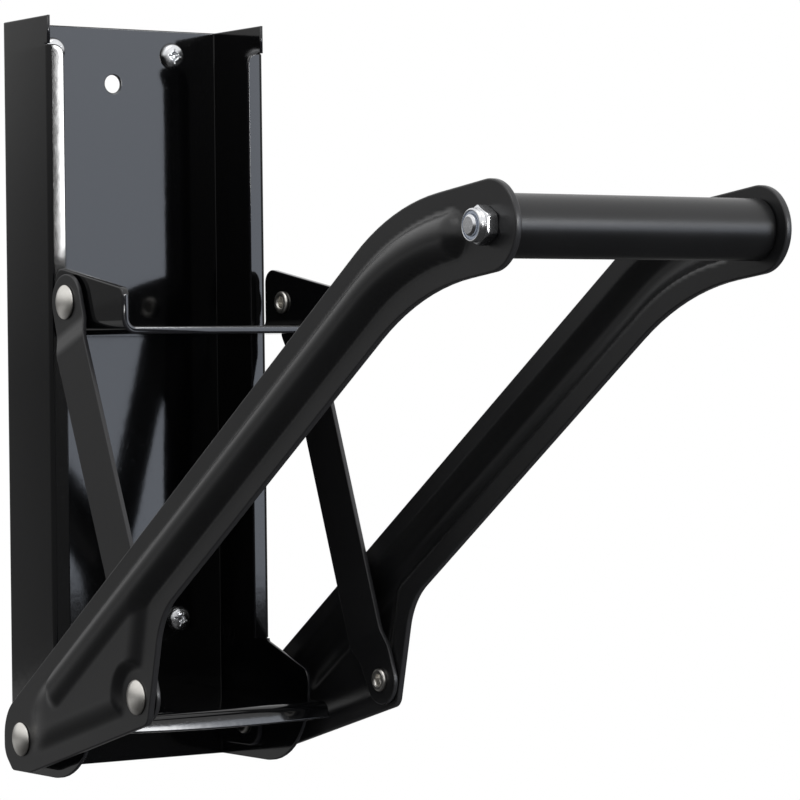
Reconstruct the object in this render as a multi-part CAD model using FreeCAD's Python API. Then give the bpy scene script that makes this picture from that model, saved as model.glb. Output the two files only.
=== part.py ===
"""Wall-mounted lever can crusher: a channel on the wall, an anvil, a sliding crush plate and a forked lever.

X runs across the wall, +Y into the wall, +Z up.  Heights are measured from the channel's lower edge while
the pieces are made.  On export they move so that the origin is the centre of the four wall holes, on the
wall plane.  "Forward" means away from the wall, along -Y.
"""
import FreeCAD, Part
import math
import os

V = FreeCAD.Vector

# ---- channel: one folded sheet, fixed to the wall ----------------------------------------------------
CHANNEL_W = 86.0        # across the outside of the flanges
CHANNEL_D = 32.2        # wall plane to the flanges' front edges
CHANNEL_H = 258.0
CHANNEL_T = 1.2
FOLD_R = 0.5            # inside radius of the folds
LIP_W = 6.2             # narrow lips folded inward along the front edges
LIP_TOP_GAP = 9.7       # lips start this far below the upper edge
LIP_LOW = 43.0          # and end at this height
LIP_CORNER_R = 3.5
LOBE_REACH = 58.2       # how far the flanges' feet come out from the wall
LOBE_R = 27.0           # round lower front corner of a foot
LOBE_RISE = 1.8         # a foot's lower edge rises this much to the front
LOBE_LEVEL = 33.0       # height where a foot's upper edge starts to slope back
LOBE_TOP = 42.0
LOBE_FRONT_R = 5.0      # upper front corner of a foot
LOBE_NECK_R = 6.0       # where it runs into the flange

# ---- wall fixing -------------------------------------------------------------------------------------
HOLE_SPAN_X = 48.0
HOLE_SPAN_Z = 200.0
HOLE_TOP_GAP = 9.0      # upper holes below the upper edge
SCREW_HOLE_R = 2.5
CENTRE_HOLE_R = 3.2
CENTRE_HOLE_GAP = 19.6  # centre hole below the upper edge

# ---- anvil: the shelf on which the can stands --------------------------------------------------------
ANVIL_TOP = 23.4
ANVIL_T = 2.0
ANVIL_FOLD_R = 1.4      # inside radius where the skirt is folded down
ANVIL_REACH = 72.2      # wall plane to the outside of the front skirt
ANVIL_SIDE_GAP = 0.2
SKIRT_DROP = 5.4        # top of the anvil to the skirt's lower edge at its ends
SKIRT_SAG = 0.9         # and how much lower the edge is in the middle
TAB_REACH = 29.0        # side tabs, bent down inside the flanges
TAB_LOW = 4.6
TAB_CORNER_R = 6.0
TAB_HEEL_R = 3.0
TAB_BACK_GAP = 0.2      # behind the tabs, clear of the channel's back folds

# ---- linkage, in the plane of the flanges ------------------------------------------------------------
PIVOT_Y, PIVOT_Z = -19.8, 12.6            # lever pivot
CRANK = 80.6                              # lever pivot to link pivot
CRANK_ANGLE = math.radians(14.2)
GRIP_RADIUS = 319.3                       # lever pivot to grip bolt
GRIP_ANGLE = math.radians(30.86)
SLIDER_Y = -46.9                          # line on which the crush plate's ear pivots run
LINK_LENGTH = 138.0                       # between pivots

# ---- crush plate -------------------------------------------------------------------------------------
CRUSH_T = 2.5
EAR_PIVOT_UP = 10.8     # pivot above the underside of the plate
CRUSH_REACH = 80.8      # wall plane to its front edge
CRUSH_FOLD_R = 2.5      # inside radius where the ears are folded up
EAR_BACK_GAP = 3.2      # ears' back edges to the flanges' front edges
EAR_TOP_BACK = 12.7     # ear's upper edge above the pivot at the back
EAR_SLOPE = math.radians(10.5)
EAR_CORNER_R = 4.5
EAR_FRONT_R = 3.0
NECK_GAP = 1.0          # each side of the neck that passes between the lips
GUIDE_GAP = 0.5         # guide head to flanges and lips
GUIDE_BACK_GAP = 7.0    # guide head to the wall plane
GUIDE_CORNER_R = 2.5
GUIDE_EDGE_R = 1.0
NECK_R = 0.8

# ---- links, lever arms and grip ----------------------------------------------------------------------
RUN_GAP = 0.4           # between the ears and flanges and the links
ARM_GAP = 0.4           # between the links' lower eyes and the arms
LINK_T = 1.6
LINK_W = 19.4           # the bar's width
LINK_SET = 1.0          # its middle stands off from the pivots' line, toward the wall
LINK_TOP_R = 9.4        # upper eye
LINK_LOW_R = 8.3        # lower eye
LINK_STEP = 1.4         # the upper end of the bar and the lower eye stand this much further out
LINK_LOW_GAP = 0.3      # the bar's lower end to the flanges
LINK_EYE_FLAT = 9.0     # pivot to the start of the step beside it
LINK_STEP_RUN = 6.0
LINK_BEND_R = 4.0
ARM_T = 2.2
ARM_W = 27.4            # width of the straight part
ARM_SLOPE = math.radians(34.3)
ARM_BACK_R = 14.7       # round end behind the lever pivot
ARM_BACK = 12.7         # lever pivot to the arm's edge on the wall side
ARM_UPPER_OFFSET = 13.8 # lever pivot to the upper edge
ARM_TIP_R = 13.0        # round end at the grip
ARM_TIP_SLOPE = math.radians(6.7)
ARM_UPPER_BEND_R = 95.0
ARM_LOWER_BEND_R = 101.0
ARM_FLAT = 10.9         # the pivot end's flat, below the pivot
ARM_HEEL = 5.4          # chamfer between the round end and the flat
ARM_HEEL_R = 8.0
ARM_HEEL_EDGE_R = 1.5   # between the chamfer and the flat
ARM_KEEL_R = 6.0        # where the flat runs into the lower edge
ARM_LOWER_SLOPE = math.radians(15.7)
ARM_LOWER_OFFSET = 11.95
ARM_FRONT_SLOPE = math.radians(76.5)
ARM_FRONT_OFFSET = 8.6  # front edge ahead of the link pivot
ARM_CORNER_R = 4.5
ARM_THROAT_R = 24.0
RIDGE_W = 13.0          # raised half-round rib along each arm
RIDGE_H = 5.0
RIDGE_STOP = 13.4       # end of the rib short of the grip bolt
RIDGE_START = 112.0     # forward of the lever pivot
PLATEAU_H = 2.8         # raised field over the wide lower part
PLATEAU_SLOPE = 1.3     # run of its sides for each millimetre of rise
PLATEAU_RIM = 6.4       # flat rim left below it
PLATEAU_FRONT_RIM = 7.6
PLATEAU_HEEL_GAP = 4.0  # round the head of the lever pivot's rivet
PLATEAU_END = 150.0     # where it has run out under the rib
RECESS_R = 8.2          # flat seat round the link pivot
PRESS_WALL = 0.6        # share of the sheet left on the field's sloping sides
TUBE_R = 9.1
TUBE_WALL = 1.5
TUBE_END_GAP = 0.3
BUSH_L = 12.0

# ---- rivets, bolt and nut ----------------------------------------------------------------------------
RIVET_R = 3.0
RIVET_HEAD_R = 5.75
RIVET_HEAD_H = 2.2
RIVET_RIM = 0.5         # straight edge under the domed head
TAIL_R = 3.9            # rolled end of the semi-tubular rivets
TAIL_H = 1.3
TAIL_BORE_R = 1.9
TAIL_BORE_L = 4.0
TAIL_ROUND = 0.4        # edges of the rolled end
SPACER_R = 7.5          # spacers at the lever pivot
RUN_FIT = 0.08          # radial, pivots that turn
HOLE_FIT = 0.02         # radial, riveted or clamped
END_PLAY = 0.1          # along the pivots
OVER = 1.0              # how far drills and cutters run past
SAME_POINT = 1e-6       # corners nearer together than this are one
BOLT_R = 3.0
BOLT_POINT = 0.9        # bolt end beyond the nut
HEX_FLATS = 10.0
HEX_HEAD_H = 4.0
HEX_CHAMFER = 0.5
END_CHAMFER = 0.6       # bolt's end and nut's collar
NUT_HEX_H = 4.0
NUT_COLLAR_H = 2.0
NUT_COLLAR_R = 4.75
INSERT_R = 4.1
INSERT_H = 1.6

# ---- worked out from the sizes above -----------------------------------------------------------------
HALF_W = CHANNEL_W / 2
FLANGE_IN = HALF_W - CHANNEL_T
LINK_IN = HALF_W + 2 * RUN_GAP
LINK_OUT = LINK_IN + LINK_T
EYE_IN = LINK_IN + LINK_STEP
EYE_OUT = EYE_IN + LINK_T
ARM_IN = EYE_OUT + ARM_GAP
ARM_OUT = ARM_IN + ARM_T
LIP_EDGE = HALF_W - LIP_W
TAB_OUT = FLANGE_IN - ANVIL_SIDE_GAP
TAB_IN = TAB_OUT - ANVIL_T
EAR_IN = HALF_W - CRUSH_T
UPPER_HOLES = CHANNEL_H - HOLE_TOP_GAP
ORIGIN_Z = UPPER_HOLES - HOLE_SPAN_Z / 2

LINK_PIVOT_Y = PIVOT_Y - CRANK * math.cos(CRANK_ANGLE)
LINK_PIVOT_Z = PIVOT_Z + CRANK * math.sin(CRANK_ANGLE)
GRIP_Y = PIVOT_Y - GRIP_RADIUS * math.cos(GRIP_ANGLE)
GRIP_Z = PIVOT_Z + GRIP_RADIUS * math.sin(GRIP_ANGLE)
SLIDER_Z = LINK_PIVOT_Z + math.sqrt(LINK_LENGTH ** 2 - (SLIDER_Y - LINK_PIVOT_Y) ** 2)
CRUSH_LOW = SLIDER_Z - EAR_PIVOT_UP
CRUSH_TOP = CRUSH_LOW + CRUSH_T


# ---- helpers -----------------------------------------------------------------------------------------
def side(x):
    """A place in the plane X = x: s forward from the wall plane, t up."""
    return lambda s, t: V(x, -s, t)


def level(z):
    """A place in the plane Z = z: u along X, v forward from the wall plane."""
    return lambda u, v: V(u, -v, z)


def meet(p, slope_p, q, slope_q):
    """Where the line through p and the line through q cross, in flat coordinates."""
    ux, uy = math.cos(slope_p), math.sin(slope_p)
    wx, wy = math.cos(slope_q), math.sin(slope_q)
    run = ((q[0] - p[0]) * wy - (q[1] - p[1]) * wx) / (ux * wy - uy * wx)
    return (p[0] + run * ux, p[1] + run * uy)


def shifted(p, slope, across):
    """The point p moved square to a line of this slope, to its left."""
    return (p[0] - across * math.sin(slope), p[1] + across * math.cos(slope))


def along(p, slope, run):
    return (p[0] + run * math.cos(slope), p[1] + run * math.sin(slope))


def corner(before, at, after, radius):
    """Start, middle and end of the tangent arc that rounds one corner."""
    ax, ay = before[0] - at[0], before[1] - at[1]
    bx, by = after[0] - at[0], after[1] - at[1]
    la, lb = math.hypot(ax, ay), math.hypot(bx, by)
    ax, ay, bx, by = ax / la, ay / la, bx / lb, by / lb
    half = math.acos(max(-1.0, min(1.0, ax * bx + ay * by))) / 2
    cut = min(radius / math.tan(half), 0.499 * la, 0.499 * lb)
    radius = cut * math.tan(half)
    mx, my = ax + bx, ay + by
    lm = math.hypot(mx, my)
    to_mid = radius / math.sin(half) - radius
    start = (at[0] + ax * cut, at[1] + ay * cut)
    middle = (at[0] + mx / lm * to_mid, at[1] + my / lm * to_mid)
    end = (at[0] + bx * cut, at[1] + by * cut)
    return start, middle, end


def outline(corners, place, closed=True):
    """A wire of straight edges and tangent arcs through ((s, t), radius) corners."""
    n = len(corners)
    edges, last, first = [], None, None
    for i, (at, radius) in enumerate(corners):
        inner = closed or 0 < i < n - 1
        if radius and inner:
            start, middle, end = corner(corners[i - 1][0], at, corners[(i + 1) % n][0], radius)
        else:
            start = middle = end = at
        if last and math.dist(last, start) > SAME_POINT:
            edges.append(Part.LineSegment(place(*last), place(*start)).toShape())
        if start != end:
            edges.append(Part.Arc(place(*start), place(*middle), place(*end)).toShape())
        first = first or start
        last = end
    if closed and math.dist(last, first) > SAME_POINT:
        edges.append(Part.LineSegment(place(*last), place(*first)).toShape())
    return Part.Wire(Part.__sortEdges__(edges))


def slab(corners, place, push):
    return Part.Face(outline(corners, place)).extrude(push)


def rod(x0, x1, y, z, radius):
    """A cylinder along X."""
    return Part.makeCylinder(radius, x1 - x0, V(x0, y, z), V(1, 0, 0))


def ring(x0, x1, y, z, outer, inner):
    return rod(x0, x1, y, z, outer).cut(rod(x0 - OVER, x1 + OVER, y, z, inner))


def box(x0, x1, y0, y1, z0, z1):
    return Part.makeBox(x1 - x0, y1 - y0, z1 - z0, V(x0, y0, z0))


def mirrored(shape):
    return shape.mirror(V(0, 0, 0), V(1, 0, 0))


def turned(profile, x, y, z):
    """A solid of revolution about an X axis; the profile is (x, radius) corners."""
    points = [V(x + a, y, z + r) for a, r in profile]
    return Part.Face(Part.makePolygon(points + points[:1])).revolve(V(x, y, z), V(1, 0, 0), 360)


# ---- channel -----------------------------------------------------------------------------------------
def channel_section(lips):
    """The folded section seen from above, as corners of one closed outline."""
    t, r = CHANNEL_T, FOLD_R
    front = CHANNEL_D
    w, wi = HALF_W, FLANGE_IN
    if lips:
        right = [((w, 0), r + t), ((w, front), r + t), ((LIP_EDGE, front), 0),
                 ((LIP_EDGE, front - t), 0), ((wi, front - t), r), ((wi, t), r)]
    else:
        right = [((w, 0), r + t), ((w, front), 0), ((wi, front), 0), ((wi, t), r)]
    left = [((-u, v), radius) for (u, v), radius in reversed(right)]
    return right + left


def flange_foot():
    """The lower end of the right flange, which comes forward under the anvil."""
    back = CHANNEL_D - 2 * (FOLD_R + CHANNEL_T)
    corners = [((back, 0), 0), ((LOBE_REACH, LOBE_RISE), LOBE_R), ((LOBE_REACH, LOBE_LEVEL), LOBE_FRONT_R),
               ((CHANNEL_D, LOBE_TOP), LOBE_NECK_R), ((back, LOBE_TOP), 0)]
    return slab(corners, side(FLANGE_IN), V(CHANNEL_T, 0, 0))


def back_channel():
    low, top = LIP_LOW, CHANNEL_H - LIP_TOP_GAP
    plain, lipped = channel_section(False), channel_section(True)
    shape = slab(plain, level(0), V(0, 0, low))
    shape = shape.fuse(slab(lipped, level(low), V(0, 0, top - low)))
    shape = shape.fuse(slab(plain, level(top), V(0, 0, CHANNEL_H - top)))
    foot = flange_foot()
    shape = shape.fuse([foot, mirrored(foot)]).removeSplitter()
    nick = box(LIP_EDGE - OVER, LIP_EDGE + LIP_CORNER_R, -CHANNEL_D - OVER, CHANNEL_T - CHANNEL_D,
               top - LIP_CORNER_R, top + HOLE_FIT)
    round_at = V(LIP_EDGE + LIP_CORNER_R, -CHANNEL_D - 2 * OVER, top - LIP_CORNER_R)
    nick = nick.cut(Part.makeCylinder(LIP_CORNER_R, CHANNEL_T + 3 * OVER, round_at, V(0, 1, 0)))
    shape = shape.cut([nick, mirrored(nick)])
    shape = shape.cut(wall_holes())
    return shape.cut([rod(FLANGE_IN - OVER, HALF_W + OVER, PIVOT_Y, PIVOT_Z, RIVET_R + HOLE_FIT),
                      rod(-HALF_W - OVER, OVER - FLANGE_IN, PIVOT_Y, PIVOT_Z, RIVET_R + HOLE_FIT)])


def wall_holes():
    through = CHANNEL_T + 2 * OVER
    drills = [Part.makeCylinder(CENTRE_HOLE_R, through, V(0, OVER, CHANNEL_H - CENTRE_HOLE_GAP), V(0, -1, 0))]
    for x in (-HOLE_SPAN_X / 2, HOLE_SPAN_X / 2):
        for z in (UPPER_HOLES, UPPER_HOLES - HOLE_SPAN_Z):
            drills.append(Part.makeCylinder(SCREW_HOLE_R, through, V(x, OVER, z), V(0, -1, 0)))
    return drills


# ---- anvil -------------------------------------------------------------------------------------------
def anvil_plate():
    """A shelf folded down at the front into a skirt and at the sides into tabs."""
    t, reach = ANVIL_T, ANVIL_REACH
    low = ANVIL_TOP - ANVIL_T
    section = [((CHANNEL_T, ANVIL_TOP), 0), ((reach, ANVIL_TOP), ANVIL_FOLD_R + t),
               ((reach, ANVIL_TOP - SKIRT_DROP - SKIRT_SAG), 0),
               ((reach - t, ANVIL_TOP - SKIRT_DROP - SKIRT_SAG), 0), ((reach - t, low), ANVIL_FOLD_R),
               ((CHANNEL_T, low), 0)]
    shelf = slab(section, side(-TAB_OUT), V(2 * TAB_OUT, 0, 0))
    shelf = shelf.cut(skirt_trim())
    back = CHANNEL_T + FOLD_R + TAB_BACK_GAP
    tab = slab([((back, TAB_LOW), TAB_HEEL_R), ((TAB_REACH, TAB_LOW), TAB_CORNER_R),
                ((TAB_REACH, ANVIL_TOP), 0), ((back, ANVIL_TOP), 0)], side(TAB_IN), V(t, 0, 0))
    shelf = shelf.fuse([tab, mirrored(tab)]).removeSplitter()
    corner_clear = [box(TAB_OUT - FOLD_R, TAB_OUT + OVER, -back, 0, 0, ANVIL_TOP + OVER)]
    corner_clear.append(mirrored(corner_clear[0]))
    holes = [rod(TAB_IN - OVER, TAB_OUT + OVER, PIVOT_Y, PIVOT_Z, RIVET_R + HOLE_FIT)]
    holes.append(mirrored(holes[0]))
    return shelf.cut(corner_clear + holes)


def skirt_trim():
    """What the skirt's lower edge leaves off: it rises a little from the middle to both ends."""
    low = ANVIL_TOP - SKIRT_DROP - SKIRT_SAG
    ends = ANVIL_TOP - SKIRT_DROP
    bottom = low - OVER
    y, end = -ANVIL_REACH - OVER, TAB_OUT + OVER
    left, right = V(-end, y, ends), V(end, y, ends)
    below_left, below_right = V(-end, y, bottom), V(end, y, bottom)
    edges = [Part.Arc(left, V(0, y, low), right).toShape(),
             Part.LineSegment(right, below_right).toShape(),
             Part.LineSegment(below_right, below_left).toShape(),
             Part.LineSegment(below_left, left).toShape()]
    return Part.Face(Part.Wire(edges)).extrude(V(0, ANVIL_T + 2 * OVER, 0))


# ---- crush plate -------------------------------------------------------------------------------------
def crush_plate():
    """A plate across the channel's mouth, with two ears folded up and a guide head behind the lips."""
    mouth = CHANNEL_D + EAR_BACK_GAP
    shape = folded_front(mouth).fuse(guide_head(mouth)).removeSplitter()
    hole = rod(EAR_IN - OVER, HALF_W + OVER, SLIDER_Y, SLIDER_Z, RIVET_R + HOLE_FIT)
    return shape.cut([hole, mirrored(hole)])


def folded_front(mouth):
    """The part in front of the channel: a U section, cut to the ears' outline."""
    top = SLIDER_Z + EAR_TOP_BACK
    right = [((HALF_W, CRUSH_LOW), CRUSH_FOLD_R + CRUSH_T), ((HALF_W, top + OVER), 0),
             ((EAR_IN, top + OVER), 0), ((EAR_IN, CRUSH_TOP), CRUSH_FOLD_R)]
    left = [((-x, z), radius) for (x, z), radius in reversed(right)]
    section = slab(right + left, lambda x, z: V(x, -mouth, z), V(0, mouth - CRUSH_REACH, 0))
    drop = (CRUSH_REACH - mouth) * math.tan(EAR_SLOPE)
    profile = [((mouth, CRUSH_LOW), 0), ((mouth, top), EAR_CORNER_R),
               ((CRUSH_REACH, top - drop), EAR_FRONT_R), ((CRUSH_REACH, CRUSH_LOW), 0)]
    return section.common(slab(profile, side(-HALF_W), V(CHANNEL_W, 0, 0)))


def guide_head(mouth):
    """The neck between the lips and the wider head that runs behind them."""
    neck = LIP_EDGE - NECK_GAP
    guide = FLANGE_IN - GUIDE_GAP
    behind_lips = CHANNEL_D - CHANNEL_T - GUIDE_GAP
    right = [((guide, GUIDE_BACK_GAP), GUIDE_CORNER_R), ((guide, behind_lips), GUIDE_EDGE_R),
             ((neck, behind_lips), NECK_R), ((neck, mouth), 0)]
    left = [((-u, v), radius) for (u, v), radius in reversed(right)]
    return slab(right + left, level(CRUSH_LOW), V(0, 0, CRUSH_T))


# ---- links -------------------------------------------------------------------------------------------
def link():
    """The right link: a flat bar with a step at each end, between two round eyes."""
    top, low = (-SLIDER_Y, SLIDER_Z), (-LINK_PIVOT_Y, LINK_PIVOT_Z)
    slope = math.atan2(low[1] - top[1], low[0] - top[0])
    front, back = LINK_W / 2 - LINK_SET, -LINK_W / 2 - LINK_SET
    bar_start = LINK_EYE_FLAT + LINK_STEP_RUN
    bar_end = LINK_LENGTH - bar_start

    def at(run, across):
        return shifted(along(top, slope, run), slope, across)

    def edge_on(run, x):
        s, t = at(run, -LINK_W)
        return V(x, -s, t)

    faces = [((-LINK_W, LINK_IN), 0), ((LINK_EYE_FLAT, LINK_IN), LINK_BEND_R),
             ((bar_start, EYE_IN), LINK_BEND_R), ((bar_end, HALF_W + LINK_LOW_GAP), LINK_BEND_R),
             ((LINK_LENGTH - LINK_EYE_FLAT, EYE_IN), LINK_BEND_R), ((LINK_LENGTH + LINK_W, EYE_IN), 0)]
    outer = [((run, x + LINK_T), radius) for (run, x), radius in reversed(faces)]
    across = 2 * LINK_W
    strip = slab(faces + outer, edge_on, V(0, across * math.sin(slope), across * math.cos(slope)))

    edges = [(at(0, LINK_TOP_R), 0), (at(bar_start, front), 0), (at(bar_end, front), 0),
             (at(LINK_LENGTH, LINK_LOW_R), 0), (at(LINK_LENGTH, -LINK_LOW_R), 0), (at(bar_end, back), 0),
             (at(bar_start, back), 0), (at(0, -LINK_TOP_R), 0)]
    plan = slab(edges, side(HALF_W - OVER), V(ARM_IN - HALF_W + 2 * OVER, 0, 0))
    plan = plan.fuse([rod(HALF_W - OVER, ARM_IN + OVER, SLIDER_Y, SLIDER_Z, LINK_TOP_R),
                      rod(HALF_W - OVER, ARM_IN + OVER, LINK_PIVOT_Y, LINK_PIVOT_Z, LINK_LOW_R)])
    shape = strip.common(plan.removeSplitter())
    return shape.cut([rod(LINK_IN - OVER, EYE_OUT + OVER, SLIDER_Y, SLIDER_Z, RIVET_R + RUN_FIT),
                      rod(LINK_IN - OVER, EYE_OUT + OVER, LINK_PIVOT_Y, LINK_PIVOT_Z, RIVET_R + HOLE_FIT)])


# ---- lever arms --------------------------------------------------------------------------------------
def arm_lines():
    """A point on each straight edge of an arm, with the edge's slope."""
    pivot, grip, joint = (-PIVOT_Y, PIVOT_Z), (-GRIP_Y, GRIP_Z), (-LINK_PIVOT_Y, LINK_PIVOT_Z)
    upper = shifted(pivot, ARM_SLOPE, ARM_UPPER_OFFSET)
    under = shifted(pivot, ARM_SLOPE, ARM_UPPER_OFFSET - ARM_W)
    tip_upper = shifted(grip, ARM_TIP_SLOPE, ARM_TIP_R)
    tip_under = shifted(grip, ARM_TIP_SLOPE, -ARM_TIP_R)
    keel = shifted(pivot, ARM_LOWER_SLOPE, -ARM_LOWER_OFFSET)
    front = (joint[0] + ARM_FRONT_OFFSET, joint[1])
    return upper, under, tip_upper, tip_under, keel, front


def arm_outline():
    upper, under, tip_upper, tip_under, keel, front = arm_lines()
    s_back, t_flat = -PIVOT_Y - ARM_BACK, PIVOT_Z - ARM_FLAT
    upright = math.pi / 2
    tip = along((-GRIP_Y, GRIP_Z), ARM_TIP_SLOPE, ARM_TIP_R)
    square = ARM_TIP_SLOPE + upright
    return [((s_back, t_flat + ARM_HEEL), ARM_HEEL_R), ((s_back + ARM_HEEL, t_flat), ARM_HEEL_EDGE_R),
            (meet((s_back, t_flat), 0, keel, ARM_LOWER_SLOPE), ARM_KEEL_R),
            (meet(keel, ARM_LOWER_SLOPE, front, ARM_FRONT_SLOPE), ARM_CORNER_R),
            (meet(front, ARM_FRONT_SLOPE, under, ARM_SLOPE), ARM_THROAT_R),
            (meet(under, ARM_SLOPE, tip_under, ARM_TIP_SLOPE), ARM_LOWER_BEND_R),
            (meet(tip_under, ARM_TIP_SLOPE, tip, square), ARM_TIP_R),
            (meet(tip, square, tip_upper, ARM_TIP_SLOPE), ARM_TIP_R),
            (meet(tip_upper, ARM_TIP_SLOPE, upper, ARM_SLOPE), ARM_UPPER_BEND_R),
            (meet(upper, ARM_SLOPE, (s_back, t_flat), upright), ARM_BACK_R)]


def ridge_path():
    """The rib's centre line: along the middle of the arm, round its bend, to near the grip."""
    pivot, grip = (-PIVOT_Y, PIVOT_Z), (-GRIP_Y, GRIP_Z)
    middle = shifted(pivot, ARM_SLOPE, ARM_UPPER_OFFSET - ARM_W / 2)
    start = along(middle, ARM_SLOPE, RIDGE_START)
    bend = meet(middle, ARM_SLOPE, grip, ARM_TIP_SLOPE)
    end = along(grip, ARM_TIP_SLOPE, -RIDGE_STOP - RIDGE_W / 2)
    return [(start, 0), (bend, (ARM_UPPER_BEND_R + ARM_LOWER_BEND_R) / 2), (end, 0)]


def ridge(x, half, rise, foot):
    """A half-round rib on the plane X = x, with round ends and a straight foot below the plane."""
    path = ridge_path()
    start, end = path[0][0], path[-1][0]
    wire = outline(path, side(x), closed=False)

    def at(across, out):
        s, t = shifted(start, ARM_SLOPE, across)
        return V(x + out, -s, t)

    profile = Part.Wire([Part.Arc(at(-half, 0), at(0, rise), at(half, 0)).toShape(),
                         Part.LineSegment(at(half, 0), at(half, -foot)).toShape(),
                         Part.LineSegment(at(half, -foot), at(-half, -foot)).toShape(),
                         Part.LineSegment(at(-half, -foot), at(-half, 0)).toShape()])
    bar = wire.makePipeShell([profile], True, False)
    ends = []
    for s, t in (start, end):
        centre, top = V(x, -s, t), V(x + rise, -s, t)
        low_centre = V(x - foot, -s, t)
        low_edge, edge = low_centre + V(0, 0, half), centre + V(0, 0, half)
        big = (half ** 2 + rise ** 2) / (2 * rise)
        ball = V(x + rise - big, -s, t)
        way = (half / 2, math.sqrt(big ** 2 - (half / 2) ** 2))
        middle = V(ball.x + way[1], -s, t + way[0])
        half_profile = Part.Wire([Part.LineSegment(low_centre, low_edge).toShape(),
                                  Part.LineSegment(low_edge, edge).toShape(),
                                  Part.Arc(edge, middle, top).toShape(),
                                  Part.LineSegment(top, low_centre).toShape()])
        ends.append(Part.Face(half_profile).revolve(centre, V(1, 0, 0), 360))
    return bar.fuse(ends).removeSplitter()


def plateau_corners(inset):
    """The raised field's outline, its sides moved in by the inset."""
    pivot = (-PIVOT_Y, PIVOT_Z)
    upper, under, _, _, keel, front = arm_lines()
    rib_side = (ARM_W - RIDGE_W) / 2
    top = shifted(upper, ARM_SLOPE, -rib_side - inset)
    throat = shifted(under, ARM_SLOPE, rib_side + inset)
    bottom = shifted(keel, ARM_LOWER_SLOPE, PLATEAU_RIM + inset)
    nose = (front[0] - (PLATEAU_FRONT_RIM + inset) / math.sin(ARM_FRONT_SLOPE), front[1])
    upright = math.pi / 2
    heel = (pivot[0] + RIVET_HEAD_R + PLATEAU_HEEL_GAP + inset, pivot[1])
    far = along(upper, ARM_SLOPE, PLATEAU_END - inset)
    square = ARM_SLOPE + upright
    return [meet(bottom, ARM_LOWER_SLOPE, heel, upright),
            meet(bottom, ARM_LOWER_SLOPE, nose, ARM_FRONT_SLOPE),
            meet(nose, ARM_FRONT_SLOPE, throat, ARM_SLOPE), meet(throat, ARM_SLOPE, far, square),
            meet(top, ARM_SLOPE, far, square), meet(top, ARM_SLOPE, heel, upright)]


def plateau(x, rise, inset, foot, seat_r):
    """The field as a solid on the plane X = x, with sloping sides, left off round the link pivot."""
    sections = []
    for out in (-foot, rise):
        points = [V(x + out, -s, t) for s, t in plateau_corners(inset + PLATEAU_SLOPE * out)]
        sections.append(Part.makePolygon(points + points[:1]))
    field = Part.makeLoft(sections, True, True)
    seat = Part.makeCone(seat_r, seat_r + PLATEAU_SLOPE * (foot + rise), foot + rise,
                         V(x - foot, LINK_PIVOT_Y, LINK_PIVOT_Z), V(1, 0, 0))
    return field.cut(seat)


def lever_arm():
    """The right arm: a flat outline with a pressed-out rib and field, hollow behind."""
    shape = slab(arm_outline(), side(ARM_IN), V(ARM_T, 0, 0))
    half = RIDGE_W / 2
    groove_r = (half ** 2 + RIDGE_H ** 2) / (2 * RIDGE_H) - ARM_T
    groove_half = math.sqrt(groove_r ** 2 - (groove_r - RIDGE_H) ** 2)
    wall = ARM_T * PRESS_WALL
    shape = shape.fuse([ridge(ARM_OUT, half, RIDGE_H, ARM_T / 2),
                        plateau(ARM_OUT, PLATEAU_H, 0.0, ARM_T / 2, RECESS_R)])
    shape = shape.cut([ridge(ARM_IN, groove_half, RIDGE_H, OVER),
                       plateau(ARM_IN, PLATEAU_H, wall, OVER, RECESS_R + wall)]).removeSplitter()
    far = ARM_OUT + RIDGE_H + OVER
    return shape.cut([rod(ARM_IN - OVER, far, PIVOT_Y, PIVOT_Z, RIVET_R + RUN_FIT),
                      rod(ARM_IN - OVER, far, LINK_PIVOT_Y, LINK_PIVOT_Z, RIVET_R + HOLE_FIT),
                      rod(ARM_IN - OVER, far, GRIP_Y, GRIP_Z, BOLT_R + HOLE_FIT)])


# ---- grip --------------------------------------------------------------------------------------------
def grip_tube():
    half = ARM_IN - TUBE_END_GAP
    return ring(-half, half, GRIP_Y, GRIP_Z, TUBE_R, TUBE_R - TUBE_WALL)


def grip_bush():
    end = ARM_IN - TUBE_END_GAP
    return ring(end - BUSH_L, end, GRIP_Y, GRIP_Z, TUBE_R - TUBE_WALL - HOLE_FIT, BOLT_R + RUN_FIT)


def hexagon(x0, x1):
    """A hexagonal prism along X on the grip's axis, with its corners turned off at both ends."""
    corner_r = HEX_FLATS / math.sqrt(3)
    turns = [math.radians(60 * k) for k in range(7)]
    points = [V(x0, GRIP_Y + corner_r * math.cos(a), GRIP_Z + corner_r * math.sin(a)) for a in turns]
    prism = Part.Face(Part.makePolygon(points)).extrude(V(x1 - x0, 0, 0))
    flat, tall = HEX_FLATS / 2, x1 - x0
    edge = [(0, 0), (0, flat), (HEX_CHAMFER, corner_r), (tall - HEX_CHAMFER, corner_r),
            (tall, flat), (tall, 0)]
    lathe = turned(edge, x0, GRIP_Y, GRIP_Z)
    return prism.common(lathe)


def grip_bolt():
    """Runs from its head outside the right arm to the nut outside the left arm."""
    far = ARM_OUT + NUT_HEX_H + NUT_COLLAR_H + BOLT_POINT
    shank = rod(END_CHAMFER - far, ARM_OUT + OVER, GRIP_Y, GRIP_Z, BOLT_R)
    point = turned([(0, 0), (0, BOLT_R - END_CHAMFER), (END_CHAMFER, BOLT_R), (END_CHAMFER, 0)],
                   -far, GRIP_Y, GRIP_Z)
    return shank.fuse([point, hexagon(ARM_OUT, ARM_OUT + HEX_HEAD_H)]).removeSplitter()


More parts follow.
